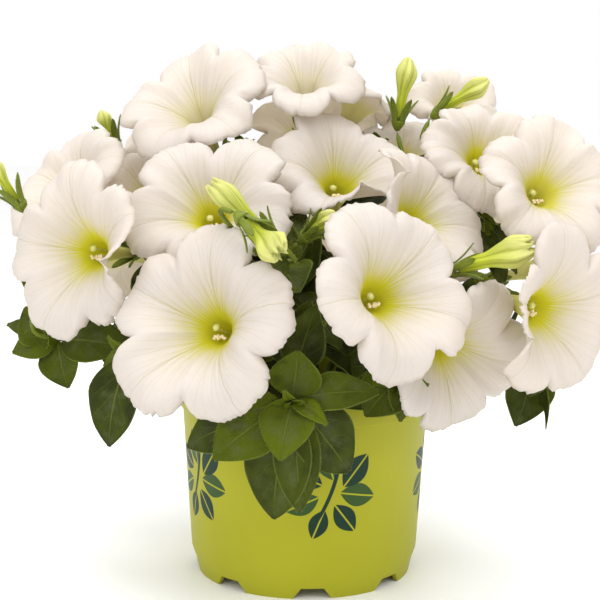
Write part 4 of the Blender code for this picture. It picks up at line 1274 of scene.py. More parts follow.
@dataclass(frozen=True)
class PlainFinish:
    """A finish of two near colours in soft clouds, with a fine grain."""

    name: str
    first: tuple
    second: tuple
    rough: float = 0.5
    grain: float = 900.0
    depth: float = 0.0002
    sheer: float = 0.0

    def material(self) -> bpy.types.Material:
        """Paints the material.

        Returns:
            The material.
        """
        paint = Paint(self.name)
        place = paint.place()
        cloud = paint.noise(place, self.grain * 0.25, 2.0)
        grain = paint.noise(place, self.grain, 3.0)
        colour = paint.mix((cloud * 0.6 + grain * 0.4).within(0.3, 0.7), self.first, self.second)
        normal, thin = paint.bump(grain, self.depth, 0.6), Thin(self.sheer, self.first)
        return paint.finish(colour, self.rough, normal, thin)


@dataclass(frozen=True)
class PotFinish:
    """Thin lime plastic with a satin skin, and leaf sprigs printed at five places round it."""

    name: str = "lime plastic"
    lime: tuple = (0.362, 0.359, 0.0138)
    deep: tuple = (0.343, 0.339, 0.0118)
    forest: tuple = (0.005, 0.028, 0.014)
    moss: tuple = (0.030, 0.072, 0.012)
    prints: int = 5
    turn: float = radians(11.0)
    radius: float = 0.0578
    middle: float = 0.0520
    soft: float = 0.0002
    depth: float = 0.0008
    leaves: tuple = (
        (0.0125, 0.0090, 52.0, 0.0190, 0.0058),
        (0.0140, -0.0025, -10.0, 0.0180, 0.0056),
        (0.0080, -0.0130, -52.0, 0.0170, 0.0052),
        (-0.0005, 0.0135, 108.0, 0.0180, 0.0056),
        (-0.0110, 0.0065, 156.0, 0.0180, 0.0056),
        (-0.0120, -0.0060, 204.0, 0.0170, 0.0052),
        (-0.0045, -0.0155, 248.0, 0.0150, 0.0046),
    )

    def sprig(self, paint: Paint, side: Wire, up: Wire) -> tuple[Wire, Wire]:
        """A curved stem with seven leaves.

        Args:
            paint: the material.
            side: how far to the right of the print's middle, in metres.
            up: how far above it.

        Returns:
            Where the dark green is, and where the lighter green is.
        """
        stem = abs(side - (up + 0.004) * 0.35 + (up * up) * 9.0) - 0.0008
        dark = (1 - (stem / 0.0003).within(0.0, 1.0)) * (1 - ((abs(up) - 0.0165) / 0.0004).within(0.0, 1.0))
        light = 0.0
        for number, (x, y, turn, length, width) in enumerate(self.leaves):
            c, s = cos(radians(turn)), sin(radians(turn))
            along = (side - x) * c + (up - y) * s
            over = abs((up - y) * c - (side - x) * s)
            share = along * (2 / length)
            edge = (1 - share * share) * width - over
            rib = (over - 0.00028) / self.soft
            blade = (edge / self.soft).within(0.0, 1.0) * rib.within(0.0, 1.0)
            if number % 2:
                light = blade.most(light)
            else:
                dark = dark.most(blade)
        return dark, light

    def material(self) -> bpy.types.Material:
        """Paints the material.

        Returns:
            The material.
        """
        paint = Paint(self.name)
        place = paint.place()
        x, y, z = paint.split(place)
        around = paint.node("ShaderNodeMath", {"operation": "ARCTAN2"}, {0: x, 1: y * -1})
        step = tau / self.prints
        side = (((around - self.turn) / step + 0.5).fract() - 0.5) * (step * self.radius)
        dark, light = self.sprig(paint, side, z - self.middle)
        cloud = paint.noise(place, 22.0, 2.0)
        grain = paint.noise(place, 1600.0, 2.0)
        outside = ((x * x + y * y) ** 0.5 - z * 0.062).within(0.0535, 0.0540)
        colour = paint.mix(cloud.within(0.3, 0.7), self.lime, self.deep)
        colour = paint.mix(light * outside, colour, self.moss)
        colour = paint.mix(dark * outside, colour, self.forest)
        normal = paint.bump(cloud * 0.8 + grain * 0.06, self.depth, 0.35)
        return paint.finish(colour, 0.46 + grain * 0.08, normal, Specular_IOR_Level=0.22)


class Workshop:
    """The modelling steps that the pieces share."""

    def __init__(self) -> None:
        """Starts with nothing made."""
        self.blanks, self.finishes = {}, {}

    def finish(self, finish: object) -> bpy.types.Material:
        """The material of a finish, painted once."""
        if finish.name not in self.finishes:
            self.finishes[finish.name] = finish.material()
        return self.finishes[finish.name]

    @staticmethod
    def alone(piece: Piece | None = None) -> None:
        """Selects this piece and nothing else, or nothing at all."""
        for other in bpy.context.selected_objects:
            other.select_set(False)
        if piece:
            piece.select_set(True)
            bpy.context.view_layer.objects.active = piece

    @staticmethod
    def shown(name: str, data: object) -> Piece:
        """A new object in the scene that shows a mesh, a lamp or a camera."""
        made = bpy.data.objects.new(name, data)
        bpy.context.scene.collection.objects.link(made)
        return made

    def strewn(self, name: str, points: list, faces: list) -> Piece:
        """Many small solids as one piece, not yet dressed."""
        mesh = bpy.data.meshes.new(name)
        mesh.from_pydata(points, [], faces)
        mesh.uv_layers.new(name="UVMap")
        return self.shown(name, mesh)

    def close(self, piece: Piece, near: float) -> None:
        """Merges the points that meet where a surface closes, and turns its faces outwards."""
        self.alone(piece)
        bpy.ops.object.mode_set(mode="EDIT")
        bpy.ops.mesh.select_all(action="SELECT")
        bpy.ops.mesh.remove_doubles(threshold=near)
        bpy.ops.mesh.normals_make_consistent(inside=False)
        bpy.ops.object.mode_set(mode="OBJECT")

    def modify(self, piece: Piece, kind: str, **settings: object) -> None:
        """Gives a piece a modifier with these settings and applies it."""
        self.alone(piece)
        made = piece.modifiers.new(kind.title(), kind)
        for key, value in settings.items():
            setattr(made, key, value)
        bpy.ops.object.modifier_apply(modifier=made.name)

    def blank(self, name: str, across: int, along: int) -> Piece:
        """A flat square, modelled once for each count of faces and copied with its own mesh.

        Args:
            name: the piece's name.
            across: how many faces it has one way.
            along: how many it has the other way.

        Returns:
            The piece.
        """
        if (across, along) not in self.blanks:
            self.alone()
            bpy.ops.mesh.primitive_grid_add(x_subdivisions=across, y_subdivisions=along, size=1.0)
            first = bpy.context.object
            first.data.transform(Matrix.Translation((0.5, 0.5, 0.0)))
            self.blanks[across, along] = first.data
            bpy.data.objects.remove(first)
        return self.shown(name, self.blanks[across, along].copy())

    def sheet(
        self, name: str, across: int, along: int, point_of: Callable, closed: bool = False
    ) -> Piece:
        """A square of cloth, so to say, laid over a surface.

        Args:
            name: the piece's name.
            across: how many faces it has one way.
            along: how many it has the other way.
            point_of: gives the point for each pair of numbers from 0 to 1.
            closed: whether its two sides meet, and its ends close to a point where they can.

        Returns:
            The piece.
        """
        piece = self.blank(name, across, along)
        mesh = piece.data
        flat = [0.0] * (3 * len(mesh.vertices))
        mesh.vertices.foreach_get("co", flat)
        placed = []
        for i in range(0, len(flat), 3):
            placed.extend(point_of(min(max(flat[i], 0.0), 1.0), min(max(flat[i + 1], 0.0), 1.0)))
        mesh.vertices.foreach_set("co", placed)
        mesh.update()
        if closed:
            self.close(piece, 0.000002)
        return piece

    def thicken(self, piece: Piece, thickness: float) -> None:
        """Gives a sheet its thickness, half on each side."""
        self.modify(piece, "SOLIDIFY", thickness=thickness, offset=0.0)

    def lay(self, piece: Piece, finish: object, tone: float = 0.0) -> Piece:
        """Dresses a piece in one finish, with the tone that the finish reads, and smooths it."""
        mesh = piece.data
        mesh.materials.clear()
        mesh.materials.append(self.finish(finish))
        self.mark(piece, "tone", [tone] * len(mesh.vertices))
        mesh.polygons.foreach_set("use_smooth", [True] * len(mesh.polygons))
        return piece

    @staticmethod
    def mark(piece: Piece, name: str, values: list) -> None:
        """Gives each point of a piece its own number."""
        piece.data.attributes.new(name, "FLOAT", "POINT").data.foreach_set("value", values)

    def joined(self, name: str, pieces: list) -> Piece:
        """One piece from several.

        Args:
            name: the whole piece's name.
            pieces: the pieces.

        Returns:
            The whole piece.
        """
        self.alone(pieces[0])
        for piece in pieces[1:]:
            piece.select_set(True)
        bpy.ops.object.join()
        whole = bpy.context.object
        whole.name = whole.data.name = name
        return whole

    @staticmethod
    def smooth_line(points: list, count: int) -> list:
        """A smooth curve through all the points.

        Args:
            points: the points that it passes.
            count: how many points it has itself.

        Returns:
            Its own points.
        """
        line = [2 * points[0] - points[1], *points, 2 * points[-1] - points[-2]]
        found = []
        for i in range(count):
            place = i / (count - 1) * (len(points) - 1)
            k = min(int(place), len(points) - 2)
            t = place - k
            a, b, c, d = line[k : k + 4]
            bend = 2 * a - 5 * b + 4 * c - d
            found.append(0.5 * ((2 * b) + (c - a) * t + bend * t**2 + (3 * b - a - 3 * c + d) * t**3))
        return found

    def rod(self, name: str, points: list, radius_of: Callable, sides: int, rows: int) -> Piece:
        """A smooth rod through the points.

        Args:
            name: the piece's name.
            points: the line that it follows.
            radius_of: gives its radius at each share of its length.
            sides: how many faces it has round it.
            rows: how many it has along it.

        Returns:
            The piece, closed to a point at each end.
        """
        line = self.smooth_line(points, rows + 1)
        frames, side = [], Vector((0.3, 0.8, 0.5))
        for i in range(rows + 1):
            along = (line[min(i + 1, rows)] - line[max(i - 1, 0)]).normalized()
            side = (side - along * side.dot(along)).normalized()
            frames.append((side, along.cross(side)))

        def point_of(u: float, v: float) -> Vector:
            """A point of the rod's skin."""
            row = round(v * rows)
            one, two = frames[row]
            radius = 0.0 if row in (0, rows) else radius_of(v)
            return line[row] + radius * spoke(one, two, tau * u)

        return self.sheet(name, sides, rows, point_of, closed=True)

    def down(self, name: str, roots: list, seed: str) -> Piece:
        """Fine hairs, each a spike of four faces.

        Args:
            name: the piece's name.
            roots: a place, a direction and a length for each hair.
            seed: the source of chance.

        Returns:
            The piece, not yet dressed.
        """
        draw, width, sunk = random.Random(seed), 0.00005, 0.0001
        points, faces = [], []
        for place, ahead, length in roots:
            ahead = (ahead + Vector([draw.uniform(-0.35, 0.35) for _ in range(3)])).normalized()
            one = ahead.cross(Vector((0.31, 0.52, 0.79))).normalized()
            two = ahead.cross(one)
            k = len(points)
            points += [place - ahead * sunk + width * spoke(one, two, turn) for turn in (0.0, 2.094, 4.189)]
            points.append(place + ahead * length * draw.uniform(0.6, 1.1))
            faces += [(k, k + 1, k + 3), (k + 1, k + 2, k + 3), (k + 2, k, k + 3), (k + 2, k + 1, k)]
        return self.strewn(name, [tuple(p) for p in points], faces)

    @staticmethod
    def settle(piece: Piece, node: str, slot: str) -> None:
        """Lets a piece stand for its solid and ride with it."""
        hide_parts(node)
        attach(piece, "root")


@dataclass
class Flower:
    """An open flower: its limb and tube as one thin sheet, and the stigma and anthers in its throat."""

    shop: Workshop
    bloom: Bloom
    across: int = 200
    along: int = 28
    thickness: float = 0.0005
    ripple_sizes: tuple = ((7, 0.9), (11, 0.8), (17, 0.40), (27, 0.16))
    ruffle: float = 0.0011
    swell: float = 0.0022
    midrib_depth: float = 0.0004
    midrib_width: float = 0.035
    seam_depth: float = 0.0010
    seam_width: float = 0.05
    lip: float = 0.12
    lip_drop: float = 0.0016
    fray: float = 0.0010
    large: float = 0.077
    teeth: tuple = (0.007, 0.014)
    sunk_heart: float = 0.007
    petal: PetalFinish = PetalFinish()
    pollen: PlainFinish = PlainFinish(
        "anther cream", (0.86, 0.74, 0.50), (0.74, 0.60, 0.34), 0.7, 2500.0, 0.0002
    )
    style: PlainFinish = PlainFinish(
        "stigma green", (0.80, 0.78, 0.34), (0.66, 0.66, 0.20), 0.35, 1500.0, 0.0001, 0.2
    )

    @staticmethod
    def torn_edge(around: Vector, drift: float) -> tuple[float, float]:
        """How frayed the limb's edge is in a direction, and how deep a tooth it has there."""
        x, y = around.x, around.y
        torn = noise.noise(Vector((13 * x, 13 * y, drift)))
        torn += 0.6 * noise.noise(Vector((31 * x, 31 * y, drift)))
        bite = max(0.0, noise.noise(Vector((45 * x, 45 * y, drift))) - 0.08)
        return torn, bite * max(0.0, noise.noise(Vector((4 * x + drift, 4 * y, 3.0))) + 0.12)

    def corolla(self) -> Piece:
        """The limb and the tube.

        Returns:
            The piece.
        """
        bloom, waves = self.bloom, Surfaces.petal_waves(self.bloom)
        frame, tube = Surfaces.flower_frame(bloom), self.petal.tube_share
        draw = random.Random(bloom.name + " ruffle")
        ripples = [(count, size, draw.uniform(0, tau)) for count, size in self.ripple_sizes]
        drift = draw.uniform(0, 40)
        notches = [draw.uniform(0.0008, 0.0040) for _ in range(LOBES + 1)]

        def point_of(u: float, v: float) -> Vector:
            """A point of the petals, with the ruffles, ribs and torn edge that the plain surface hasn't."""
            turn = bloom.roll + tau * u
            if v <= tube:
                return frame @ Surfaces.corolla_point(bloom, waves, v / tube, turn)
            out = (v - tube) / (1 - tube)
            point = Surfaces.corolla_point(bloom, waves, 1 + out, turn)
            across = LOBES * u - round(LOBES * u)
            seam = exp(-(((abs(across) - 0.5) / self.seam_width) ** 2))
            rib = exp(-((across / self.midrib_width) ** 2)) * sin(pi * min(1.0, out * 1.15)) ** 0.7
            around = Vector((cos(turn), sin(turn), 0.0))
            near = noise.noise(Vector((2.2 * around.x + drift, 2.2 * around.y, 1.6 * out)))
            torn, bite = self.torn_edge(around, drift)
            ripple = sum(s * sin(c * turn + p) for c, s, p in ripples)
            rise = out**2.5 * self.ruffle * ripple * (0.6 + 1.2 * abs(near))
            rise += self.swell * near * out - self.midrib_depth * rib - self.seam_depth * seam * out
            rise -= self.lip_drop * max(0.0, (out - 1 + self.lip) / self.lip) ** 2
            shift = self.fray * torn * out**6 - self.teeth[bloom.width > self.large] * bite * out**24
            shift -= notches[int(LOBES * u + 0.5)] * seam * out**9
            return frame @ (point + around * shift + Vector((0, 0, rise)))

        across, along = self.across, self.along
        if bloom.throat[1] >= 0:
            across, along = across * 3 // 5, along - 4
        piece = self.shop.sheet(f"{bloom.name}_petals", across, along, point_of, closed=True)
        first = len(piece.data.vertices)
        self.shop.thicken(piece, self.thickness)
        self.shop.mark(piece, "back", [float(i >= first) for i in range(len(piece.data.vertices))])
        return self.shop.lay(piece, self.petal, PALE_THROATS.get(bloom.name, 1.0))

    @staticmethod
    def style_radius(share: float) -> float:
        """The style's radius, with a round knob at its end."""
        knob = sin(pi * min(1.0, (share - 0.90) / 0.095)) ** 0.6 if share >= 0.90 else 0.0
        return 0.0005 + 0.0013 * knob

    @staticmethod
    def anther_radius(share: float) -> float:
        """An anther's radius, round at both ends."""
        return 0.00062 * sqrt(max(0.05, 1 - (2 * share - 1) ** 2))

    def heart(self) -> list:
        """The style with its knob, and five anthers on their filaments.

        Returns:
            The pieces.
        """
        shop, frame = self.shop, Surfaces.flower_frame(self.bloom)
        draw = random.Random(self.bloom.name + " heart")
        foot = Vector((0, 0, -FLOWER.tube_length))
        sunk = Vector((0, 0, -self.sunk_heart * (1 - PALE_THROATS.get(self.bloom.name, 1.0))))
        top = Vector((draw.uniform(-0.0024, -0.0008), draw.uniform(0.0012, 0.0020), 0.0010)) + sunk
        line = [frame @ foot, frame @ (foot * 0.5 + top * 0.3), frame @ top]
        made = [shop.lay(shop.rod("style", line, self.style_radius, 10, 24), self.style)]
        for i in range(LOBES):
            end = Vector(((i - 2) * 0.00115, -0.0026 + 0.0007 * (i % 2), -0.0010 - 0.0010 * (i % 2)))
            end += sunk + Vector([draw.uniform(-0.0004, 0.0004) for _ in range(3)])
            turn = draw.uniform(0, tau)
            lean = Vector((cos(turn), sin(turn), 0.4)).normalized() * 0.0009
            stalk = [frame @ foot, frame @ (foot * 0.4 + end * 0.6), frame @ end]
            made.append(shop.lay(shop.rod("filament", stalk, lambda share: 0.00022, 5, 6), self.style))
            for side in (-0.00045, 0.00045):
                aside = Vector((-sin(turn), cos(turn), 0.0)) * side
                pod = [frame @ p for p in (end + aside - lean, end + aside * 1.2, end + aside + lean)]
                made.append(shop.lay(shop.rod("anther", pod, self.anther_radius, 7, 6), self.pollen))
        return made

    def build(self) -> Piece:
        """The whole flower as one piece."""
        name = f"{self.bloom.name}_flower"
        return self.shop.joined(name, [self.corolla(), *self.heart()])


@dataclass
class FurledBud:
    """A bud with five twisted pleats, some with the frilled edge of the limb already free."""

    shop: Workshop
    bud: Bud
    across: int = 80
    along: int = 36
    mouth: float = 0.94
    frill_start: float = 0.80
    pleat_depth: float = 0.30
    lime: BudFinish = BudFinish()

    def build(self) -> Piece:
        """The whole bud as one piece.

        Returns:
            The piece.
        """
        bud, frilled = self.bud, self.bud.end is BudEnd.FRILLED
        along, right, up, length = Surfaces.bud_frame(bud)
        base, rows = Vector(bud.base), Surfaces.bud_rows
        phase = random.Random(bud.name).uniform(0, tau)

        def swell_of(share: float) -> float:
            """How wide the bud is at a share of its length."""
            low = max(i for i in range(len(rows) - 1) if rows[i][0] <= share)
            (a, one), (b, two) = rows[low], rows[low + 1]
            t = (share - a) / (b - a)
            return one + (two - one) * (3 * t**2 - 2 * t**3 if low < 2 else t**1.6)

        def point_of(u: float, v: float) -> Vector:
            """A point of the pleats; the last rows close the tip, or frill out and turn in."""
            share = min(1.0, v / self.mouth)
            turn = tau * u + Surfaces.bud_twist * share
            swell = swell_of(share)
            groove = abs(sin(LOBES / 2 * tau * u)) ** 1.5
            pleat = 1 - self.pleat_depth * min(1.0, share * 1.8) * groove
            radius, height = bud.width / 2 * swell * pleat, length * share
            if frilled:
                frill = max(0.0, (share - self.frill_start) / (1 - self.frill_start))
                waves = 0.10 + 0.05 * sin(9 * turn + phase) + 0.03 * sin(16 * turn)
                radius += frill**1.5 * bud.width * waves
                height += frill**2 * bud.width * 0.10 * sin(7 * turn + phase)
            if v > self.mouth:
                inward = (v - self.mouth) / (1 - self.mouth)
                radius *= 1 - inward
                height -= (0.25 if frilled else -0.06) * bud.width * sin(pi / 2 * inward)
            if v == 0:
                radius = 0.0
            return base + along * height + radius * spoke(right, up, turn)

        piece = self.shop.sheet(f"{bud.name}_pleats", self.across, self.along, point_of, closed=True)
        return self.shop.lay(piece, self.lime)


@dataclass
class Foliage:
    """One leafy shoot: stem, flower stalks, calyces with five sepals, leaves, and the down on them all."""

    shop: Workshop
    grown: Grown
    leaf_across: int = 10
    leaf_along: int = 20
    leaf_thickness: float = 0.00045
    small_leaf: float = 0.013
    quilt_depth: float = 0.00028
    edge_wave: float = 0.0024
    rib_depth: float = 0.0004
    rib_width: float = 0.12
    sepal_thickness: float = 0.0005
    sepal_half: float = 0.0017
    sepal_foot: float = 0.0028
    skin_hairs: tuple = (0.0014, 0.0011)
    edge_hairs: tuple = (0.0010, 0.0009)
    green: StemFinish = StemFinish()
    blade: LeafFinish = LeafFinish()
    down: HairFinish = HairFinish()

    @staticmethod
    def stalk_radius(share: float) -> float:
        """A flower stalk's radius, a little stouter towards its calyx."""
        return FLOWER.pedicel_radius * (0.95 + 0.25 * share**4)

    @staticmethod
    def cup_radius(share: float) -> float:
        """A calyx's radius, which swells from its stalk's."""
        grow = FLOWER.calyx_radius - FLOWER.pedicel_radius
        return FLOWER.pedicel_radius + grow * sin(pi / 2 * share) ** 1.1

    def stems(self) -> list:
        """The main stem and its flower stalks.

        Returns:
            The pieces.
        """
        shop, name, count = self.shop, self.grown.shoot.name, len(self.grown.stem)
        shrink = SHOOT.stem_tip_radius - SHOOT.stem_radius

        def stem_radius(share: float) -> float:
            """The stem's radius, with a slight knee at each joint."""
            knee = 0.00018 * max(0.0, cos(tau * share * 6)) ** 6
            return SHOOT.stem_radius + shrink * max(0.0, share * (count - 1) - 1) / (count - 2) + knee

        made = [shop.rod(f"{name}_stem", self.grown.stem, stem_radius, 12, 36)]
        for route, _, _ in self.grown.stalks:
            made.append(shop.rod(f"{name}_stalk", route, self.stalk_radius, 10, 16))
        return made

    def calyx(self, route: list, foot: Vector, ahead: Vector) -> list:
        """The green cup at the end of a stalk, and its five sepals.

        Args:
            route: the stalk's line.
            foot: where the calyx ends.
            ahead: the way it points.

        Returns:
            The pieces.
        """
        ring, _ = Surfaces.tube(route, FLOWER.pedicel_radius, LOBES)
        last = ring[-LOBES:]
        middle = sum(last, Vector()) / LOBES
        right = last[0] - middle
        right = (right - ahead * right.dot(ahead)).normalized()
        up = ahead.cross(right)
        line = [middle, middle.lerp(foot, 0.33), middle.lerp(foot, 0.66), foot - ahead * POT.gap]
        made = [self.shop.rod("cup", line, self.cup_radius, 15, 10)]
        for i in range(LOBES):
            away = spoke(right, up, tau * (i + 0.5) / LOBES)
            aside = ahead.cross(away)

            def point_of(u: float, v: float) -> Vector:
                """A point of the sepal, a narrow spoon that leans away from the tube."""
                reach = self.sepal_foot + (FLOWER.sepal_reach - self.sepal_foot) * v**1.5
                swell = 0.72 + 0.50 * sin(pi * v**1.3)
                wide = self.sepal_half * (1 - v) ** 0.2 * swell if v < 1 else 0.0
                side = (2 * u - 1) * wide
                hollow = 0.16 * side * side / self.sepal_half
                lift = FLOWER.sepal_length * v - 0.0015
                return foot + ahead * lift + away * (reach - hollow) + aside * side

            sepal = self.shop.sheet("sepal", 4, 10, point_of)
            self.shop.thicken(sepal, self.sepal_thickness)
            made.append(sepal)
        return made

    @staticmethod
    def blade_width(share: float) -> float:
        """The blade's width: broadest below the middle, and rounded to a short point."""
        blade = max(0.0, (share - 0.08) / 0.92)
        egg = sin(pi * min(1.0, blade**0.74)) ** 0.66
        return egg * (1 - 0.3 * blade**5) if 0 < blade < 1 else 0.0

    def sprout(self) -> list:
        """The tiny leaves, still close together, at the growing end of the stem.

        Returns:
            The leaves.
        """
        end, before = self.grown.stem[-1], self.grown.stem[-2]
        along = (end - before).normalized()
        side = along.cross(Vector((0.2, 0.3, 0.9))).normalized()
        other = along.cross(side)
        draw = random.Random(self.grown.shoot.name + " sprout")
        made = []
        for i in range(7):
            turn, lean = i * GOLDEN_TURN + 0.6, radians(68 - 8 * i + draw.uniform(-5, 5))
            away = spoke(side, other, turn)
            ahead = spoke(along, away, lean) + Vector((0, 0, 0.15))
            reach = 0.0150 - 0.0015 * i
            tip = end + ahead.normalized() * reach
            made.append(Leaf(tip, along - away * 0.6, reach * 0.44, end, 0.14, 0.9))
        return made

    def leaf(self, leaf: Leaf) -> tuple[Piece, list]:
        """A leaf, quilted between its side veins and waved at its edge.

        Args:
            leaf: the leaf.

        Returns:
            The piece, and the roots of the hairs round its edge.
        """
        along = (leaf.tip - leaf.base).normalized()
        length = (leaf.tip - leaf.base).length
        normal = (leaf.normal - along * leaf.normal.dot(along)).normalized()
        drift = leaf.tip.x * 900 + leaf.tip.z * 500
        waviness = self.edge_wave * min(1.0, length / 0.03)
        stalk = SHOOT.petiole_width / leaf.width

        def point_of(u: float, v: float) -> Vector:
            """A point of the leaf."""
            column, v = 2 * u - 1, 1 - (1 - v) ** 1.4
            blade, side = self.blade_width(v), abs(column)
            narrow = max(stalk, blade) / max(stalk, Surfaces.leaf_width(v))
            point = Surfaces.leaf_point(leaf, v, column * narrow)
            quilt = cos(tau * side_veins(v, side)) * side * (1 - side * 0.5)
            wave = noise.noise(Vector((v * 3.2 + drift, column * 1.2, drift))) * side
            groove = exp(-((side / self.rib_width) ** 2))
            rise = waviness * wave - self.quilt_depth * quilt - self.rib_depth * groove
            rise += 0.08 * leaf.width * (side * side - side)
            return point + normal * rise * blade

        across, rows = (self.leaf_across, self.leaf_along) if length > self.small_leaf else (6, 9)
        piece = self.shop.sheet("leaf", across, rows, point_of)
        roots, (apart, reach) = [], self.edge_hairs
        steps = max(8, int(length / apart))
        for i in range(steps):
            v = 0.06 + 0.93 * i / steps
            for u in (0.0, 1.0):
                inside, edge = point_of(0.5, v), point_of(u, v)
                roots.append((edge, (edge - inside).normalized() + along * 0.5, reach))
        self.shop.thicken(piece, self.leaf_thickness)
        return piece, roots

    def skin_roots(self, piece: Piece, seed: str) -> list:
        """Roots for hairs all over a piece.

        Args:
            piece: the stem, stalk or cup.
            seed: the source of chance.

        Returns:
            A place, a direction and a length for each hair.
        """
        draw, (apart, length) = random.Random(seed), self.skin_hairs
        roots = []
        for face in piece.data.polygons:
            wanted = face.area / apart**2
            for _ in range(int(wanted) + (draw.random() < wanted - int(wanted))):
                corners = [piece.data.vertices[k].co for k in face.vertices[:3]]
                a, b = sorted((draw.random(), draw.random()))
                place = corners[0] * a + corners[1] * (b - a) + corners[2] * (1 - b)
                roots.append((place, face.normal.copy(), length))
        return roots

    def build(self) -> Piece:
        """The whole shoot as one piece.

        Returns:
            The piece.
        """
        shop, name = self.shop, self.grown.shoot.name
        greens = self.stems()
        for route, foot, ahead in self.grown.stalks:
            greens += self.calyx(route, foot, ahead)
        roots = []
        for i, piece in enumerate(greens):
            roots += self.skin_roots(piece, f"{name}{i}")
            shop.lay(piece, self.green)
        draw = random.Random(name + " tone")
        blades = []
        for leaf in self.grown.leaves + self.sprout():
            piece, edge = self.leaf(leaf)
            roots += edge
            young = max(leaf.young, 1.2 - (leaf.tip - leaf.base).length / 0.028)
            shop.lay(piece, self.blade, min(1.0, young + draw.uniform(0.0, 0.2)))
            blades.append(piece)
        hairs = shop.lay(shop.down(f"{name}_down", roots, name), self.down)
        return shop.joined(f"{name}_foliage", [*blades, *greens, hairs])


@dataclass
class GrowersPot:
    """The thin plastic pot: a rolled rim band, a foot ring with eight notches, and eight drain holes."""

    shop: Workshop
    form: PotForm = POT
    steps: int = 128
    floor_thickness: float = 0.0016
    cut_depth: float = 0.008
    soft_edge: float = 0.00025
    sharp: float = radians(35)
    skin: PotFinish = PotFinish()

    def profile(self) -> list:
        """The pot's outline, from the middle of the floor round to the middle underneath.

        Returns:
            Radii and heights.
        """
        form, inner = self.form, self.form.wall
        underside = form.floor_z - self.floor_thickness
        return [
            (0, form.floor_z),
            (form.foot_top_radius - inner, form.floor_z),
            (form.shoulder_radius - inner, form.shoulder_z + 0.0006),
            (form.wall_top_radius - inner, form.band_z),
            (form.rim_radius - inner, form.height - 0.0004),
            (form.rim_radius - inner * 0.75, form.height),
            (form.rim_radius - 0.0004, form.height),
            (form.rim_radius, form.height - 0.0008),
            (form.rim_radius - 0.0006, form.band_z + 0.0002),
            (form.wall_top_radius, form.band_z - 0.0006),
            (form.shoulder_radius, form.shoulder_z),
            (form.foot_top_radius, form.foot_top_z),
            (form.foot_radius, 0),
            (form.foot_radius - 0.0022, 0),
            (form.foot_radius - 0.0018, underside),
            (form.pad_radius + 0.0005, underside),
            (form.pad_radius, 0),
            (0, 0),
        ]

    def cutters(self) -> list:
        """The wedges for the notches and the rods for the drain holes.

        Returns:
            The cutters.
        """
        form, made = self.form, []
        for i in range(form.notches):
            turn = form.notch_turn + tau * i / form.notches
            spin = Matrix.Rotation(turn, 4, "Z")
            bpy.ops.mesh.primitive_cube_add(size=1.0)
            wedge = bpy.context.object
            for corner in wedge.data.vertices:
                low = corner.co.z < 0
                width = form.notch_width_low if low else form.notch_width_high
                height = -0.002 if low else form.notch_height
                corner.co = (corner.co.x * width, corner.co.y * self.cut_depth, height)
            wedge.data.transform(spin @ Matrix.Translation((0, -form.foot_radius + 0.0005, 0)))
            between = Matrix.Rotation(turn + pi / form.notches, 4, "Z")
            bpy.ops.mesh.primitive_cylinder_add(
                vertices=24, radius=form.drain_radius, depth=0.01,
                location=between @ Vector((0, -form.drain_ring, form.floor_z)),
            )
            made += [wedge, bpy.context.object]
        return made

    def build(self) -> Piece:
        """Spins the outline, cuts it and softens its edges.

        Returns:
            The piece.
        """
        shop, outline = self.shop, self.profile()
        mesh = bpy.data.meshes.new("pot_shell")
        mesh.from_pydata([(r, 0, z) for r, z in outline], [(i, i + 1) for i in range(len(outline) - 1)], [])
        piece = shop.shown("pot_shell", mesh)
        shop.alone(piece)
        bpy.ops.object.mode_set(mode="EDIT")
        bpy.ops.mesh.select_all(action="SELECT")
        bpy.ops.mesh.spin(steps=self.steps, angle=tau, center=(0, 0, 0), axis=(0, 0, 1))
        bpy.ops.object.mode_set(mode="OBJECT")
        shop.close(piece, 0.00001)
        group = bpy.data.collections.new("pot cutters")
        for cutter in self.cutters():
            for old in list(cutter.users_collection):
                old.objects.unlink(cutter)
            group.objects.link(cutter)
        cuts = {"operation": "DIFFERENCE", "operand_type": "COLLECTION", "collection": group}
        shop.modify(piece, "BOOLEAN", **cuts, solver="MANIFOLD")
        for cutter in list(group.objects):
            bpy.data.objects.remove(cutter)
        bpy.data.collections.remove(group)
        soft = {"width": self.soft_edge, "segments": 2, "limit_method": "ANGLE", "angle_limit": self.sharp}
        shop.modify(piece, "BEVEL", **soft)
        shop.lay(piece, self.skin)
        bpy.ops.object.shade_smooth_by_angle(angle=self.sharp)
        return piece


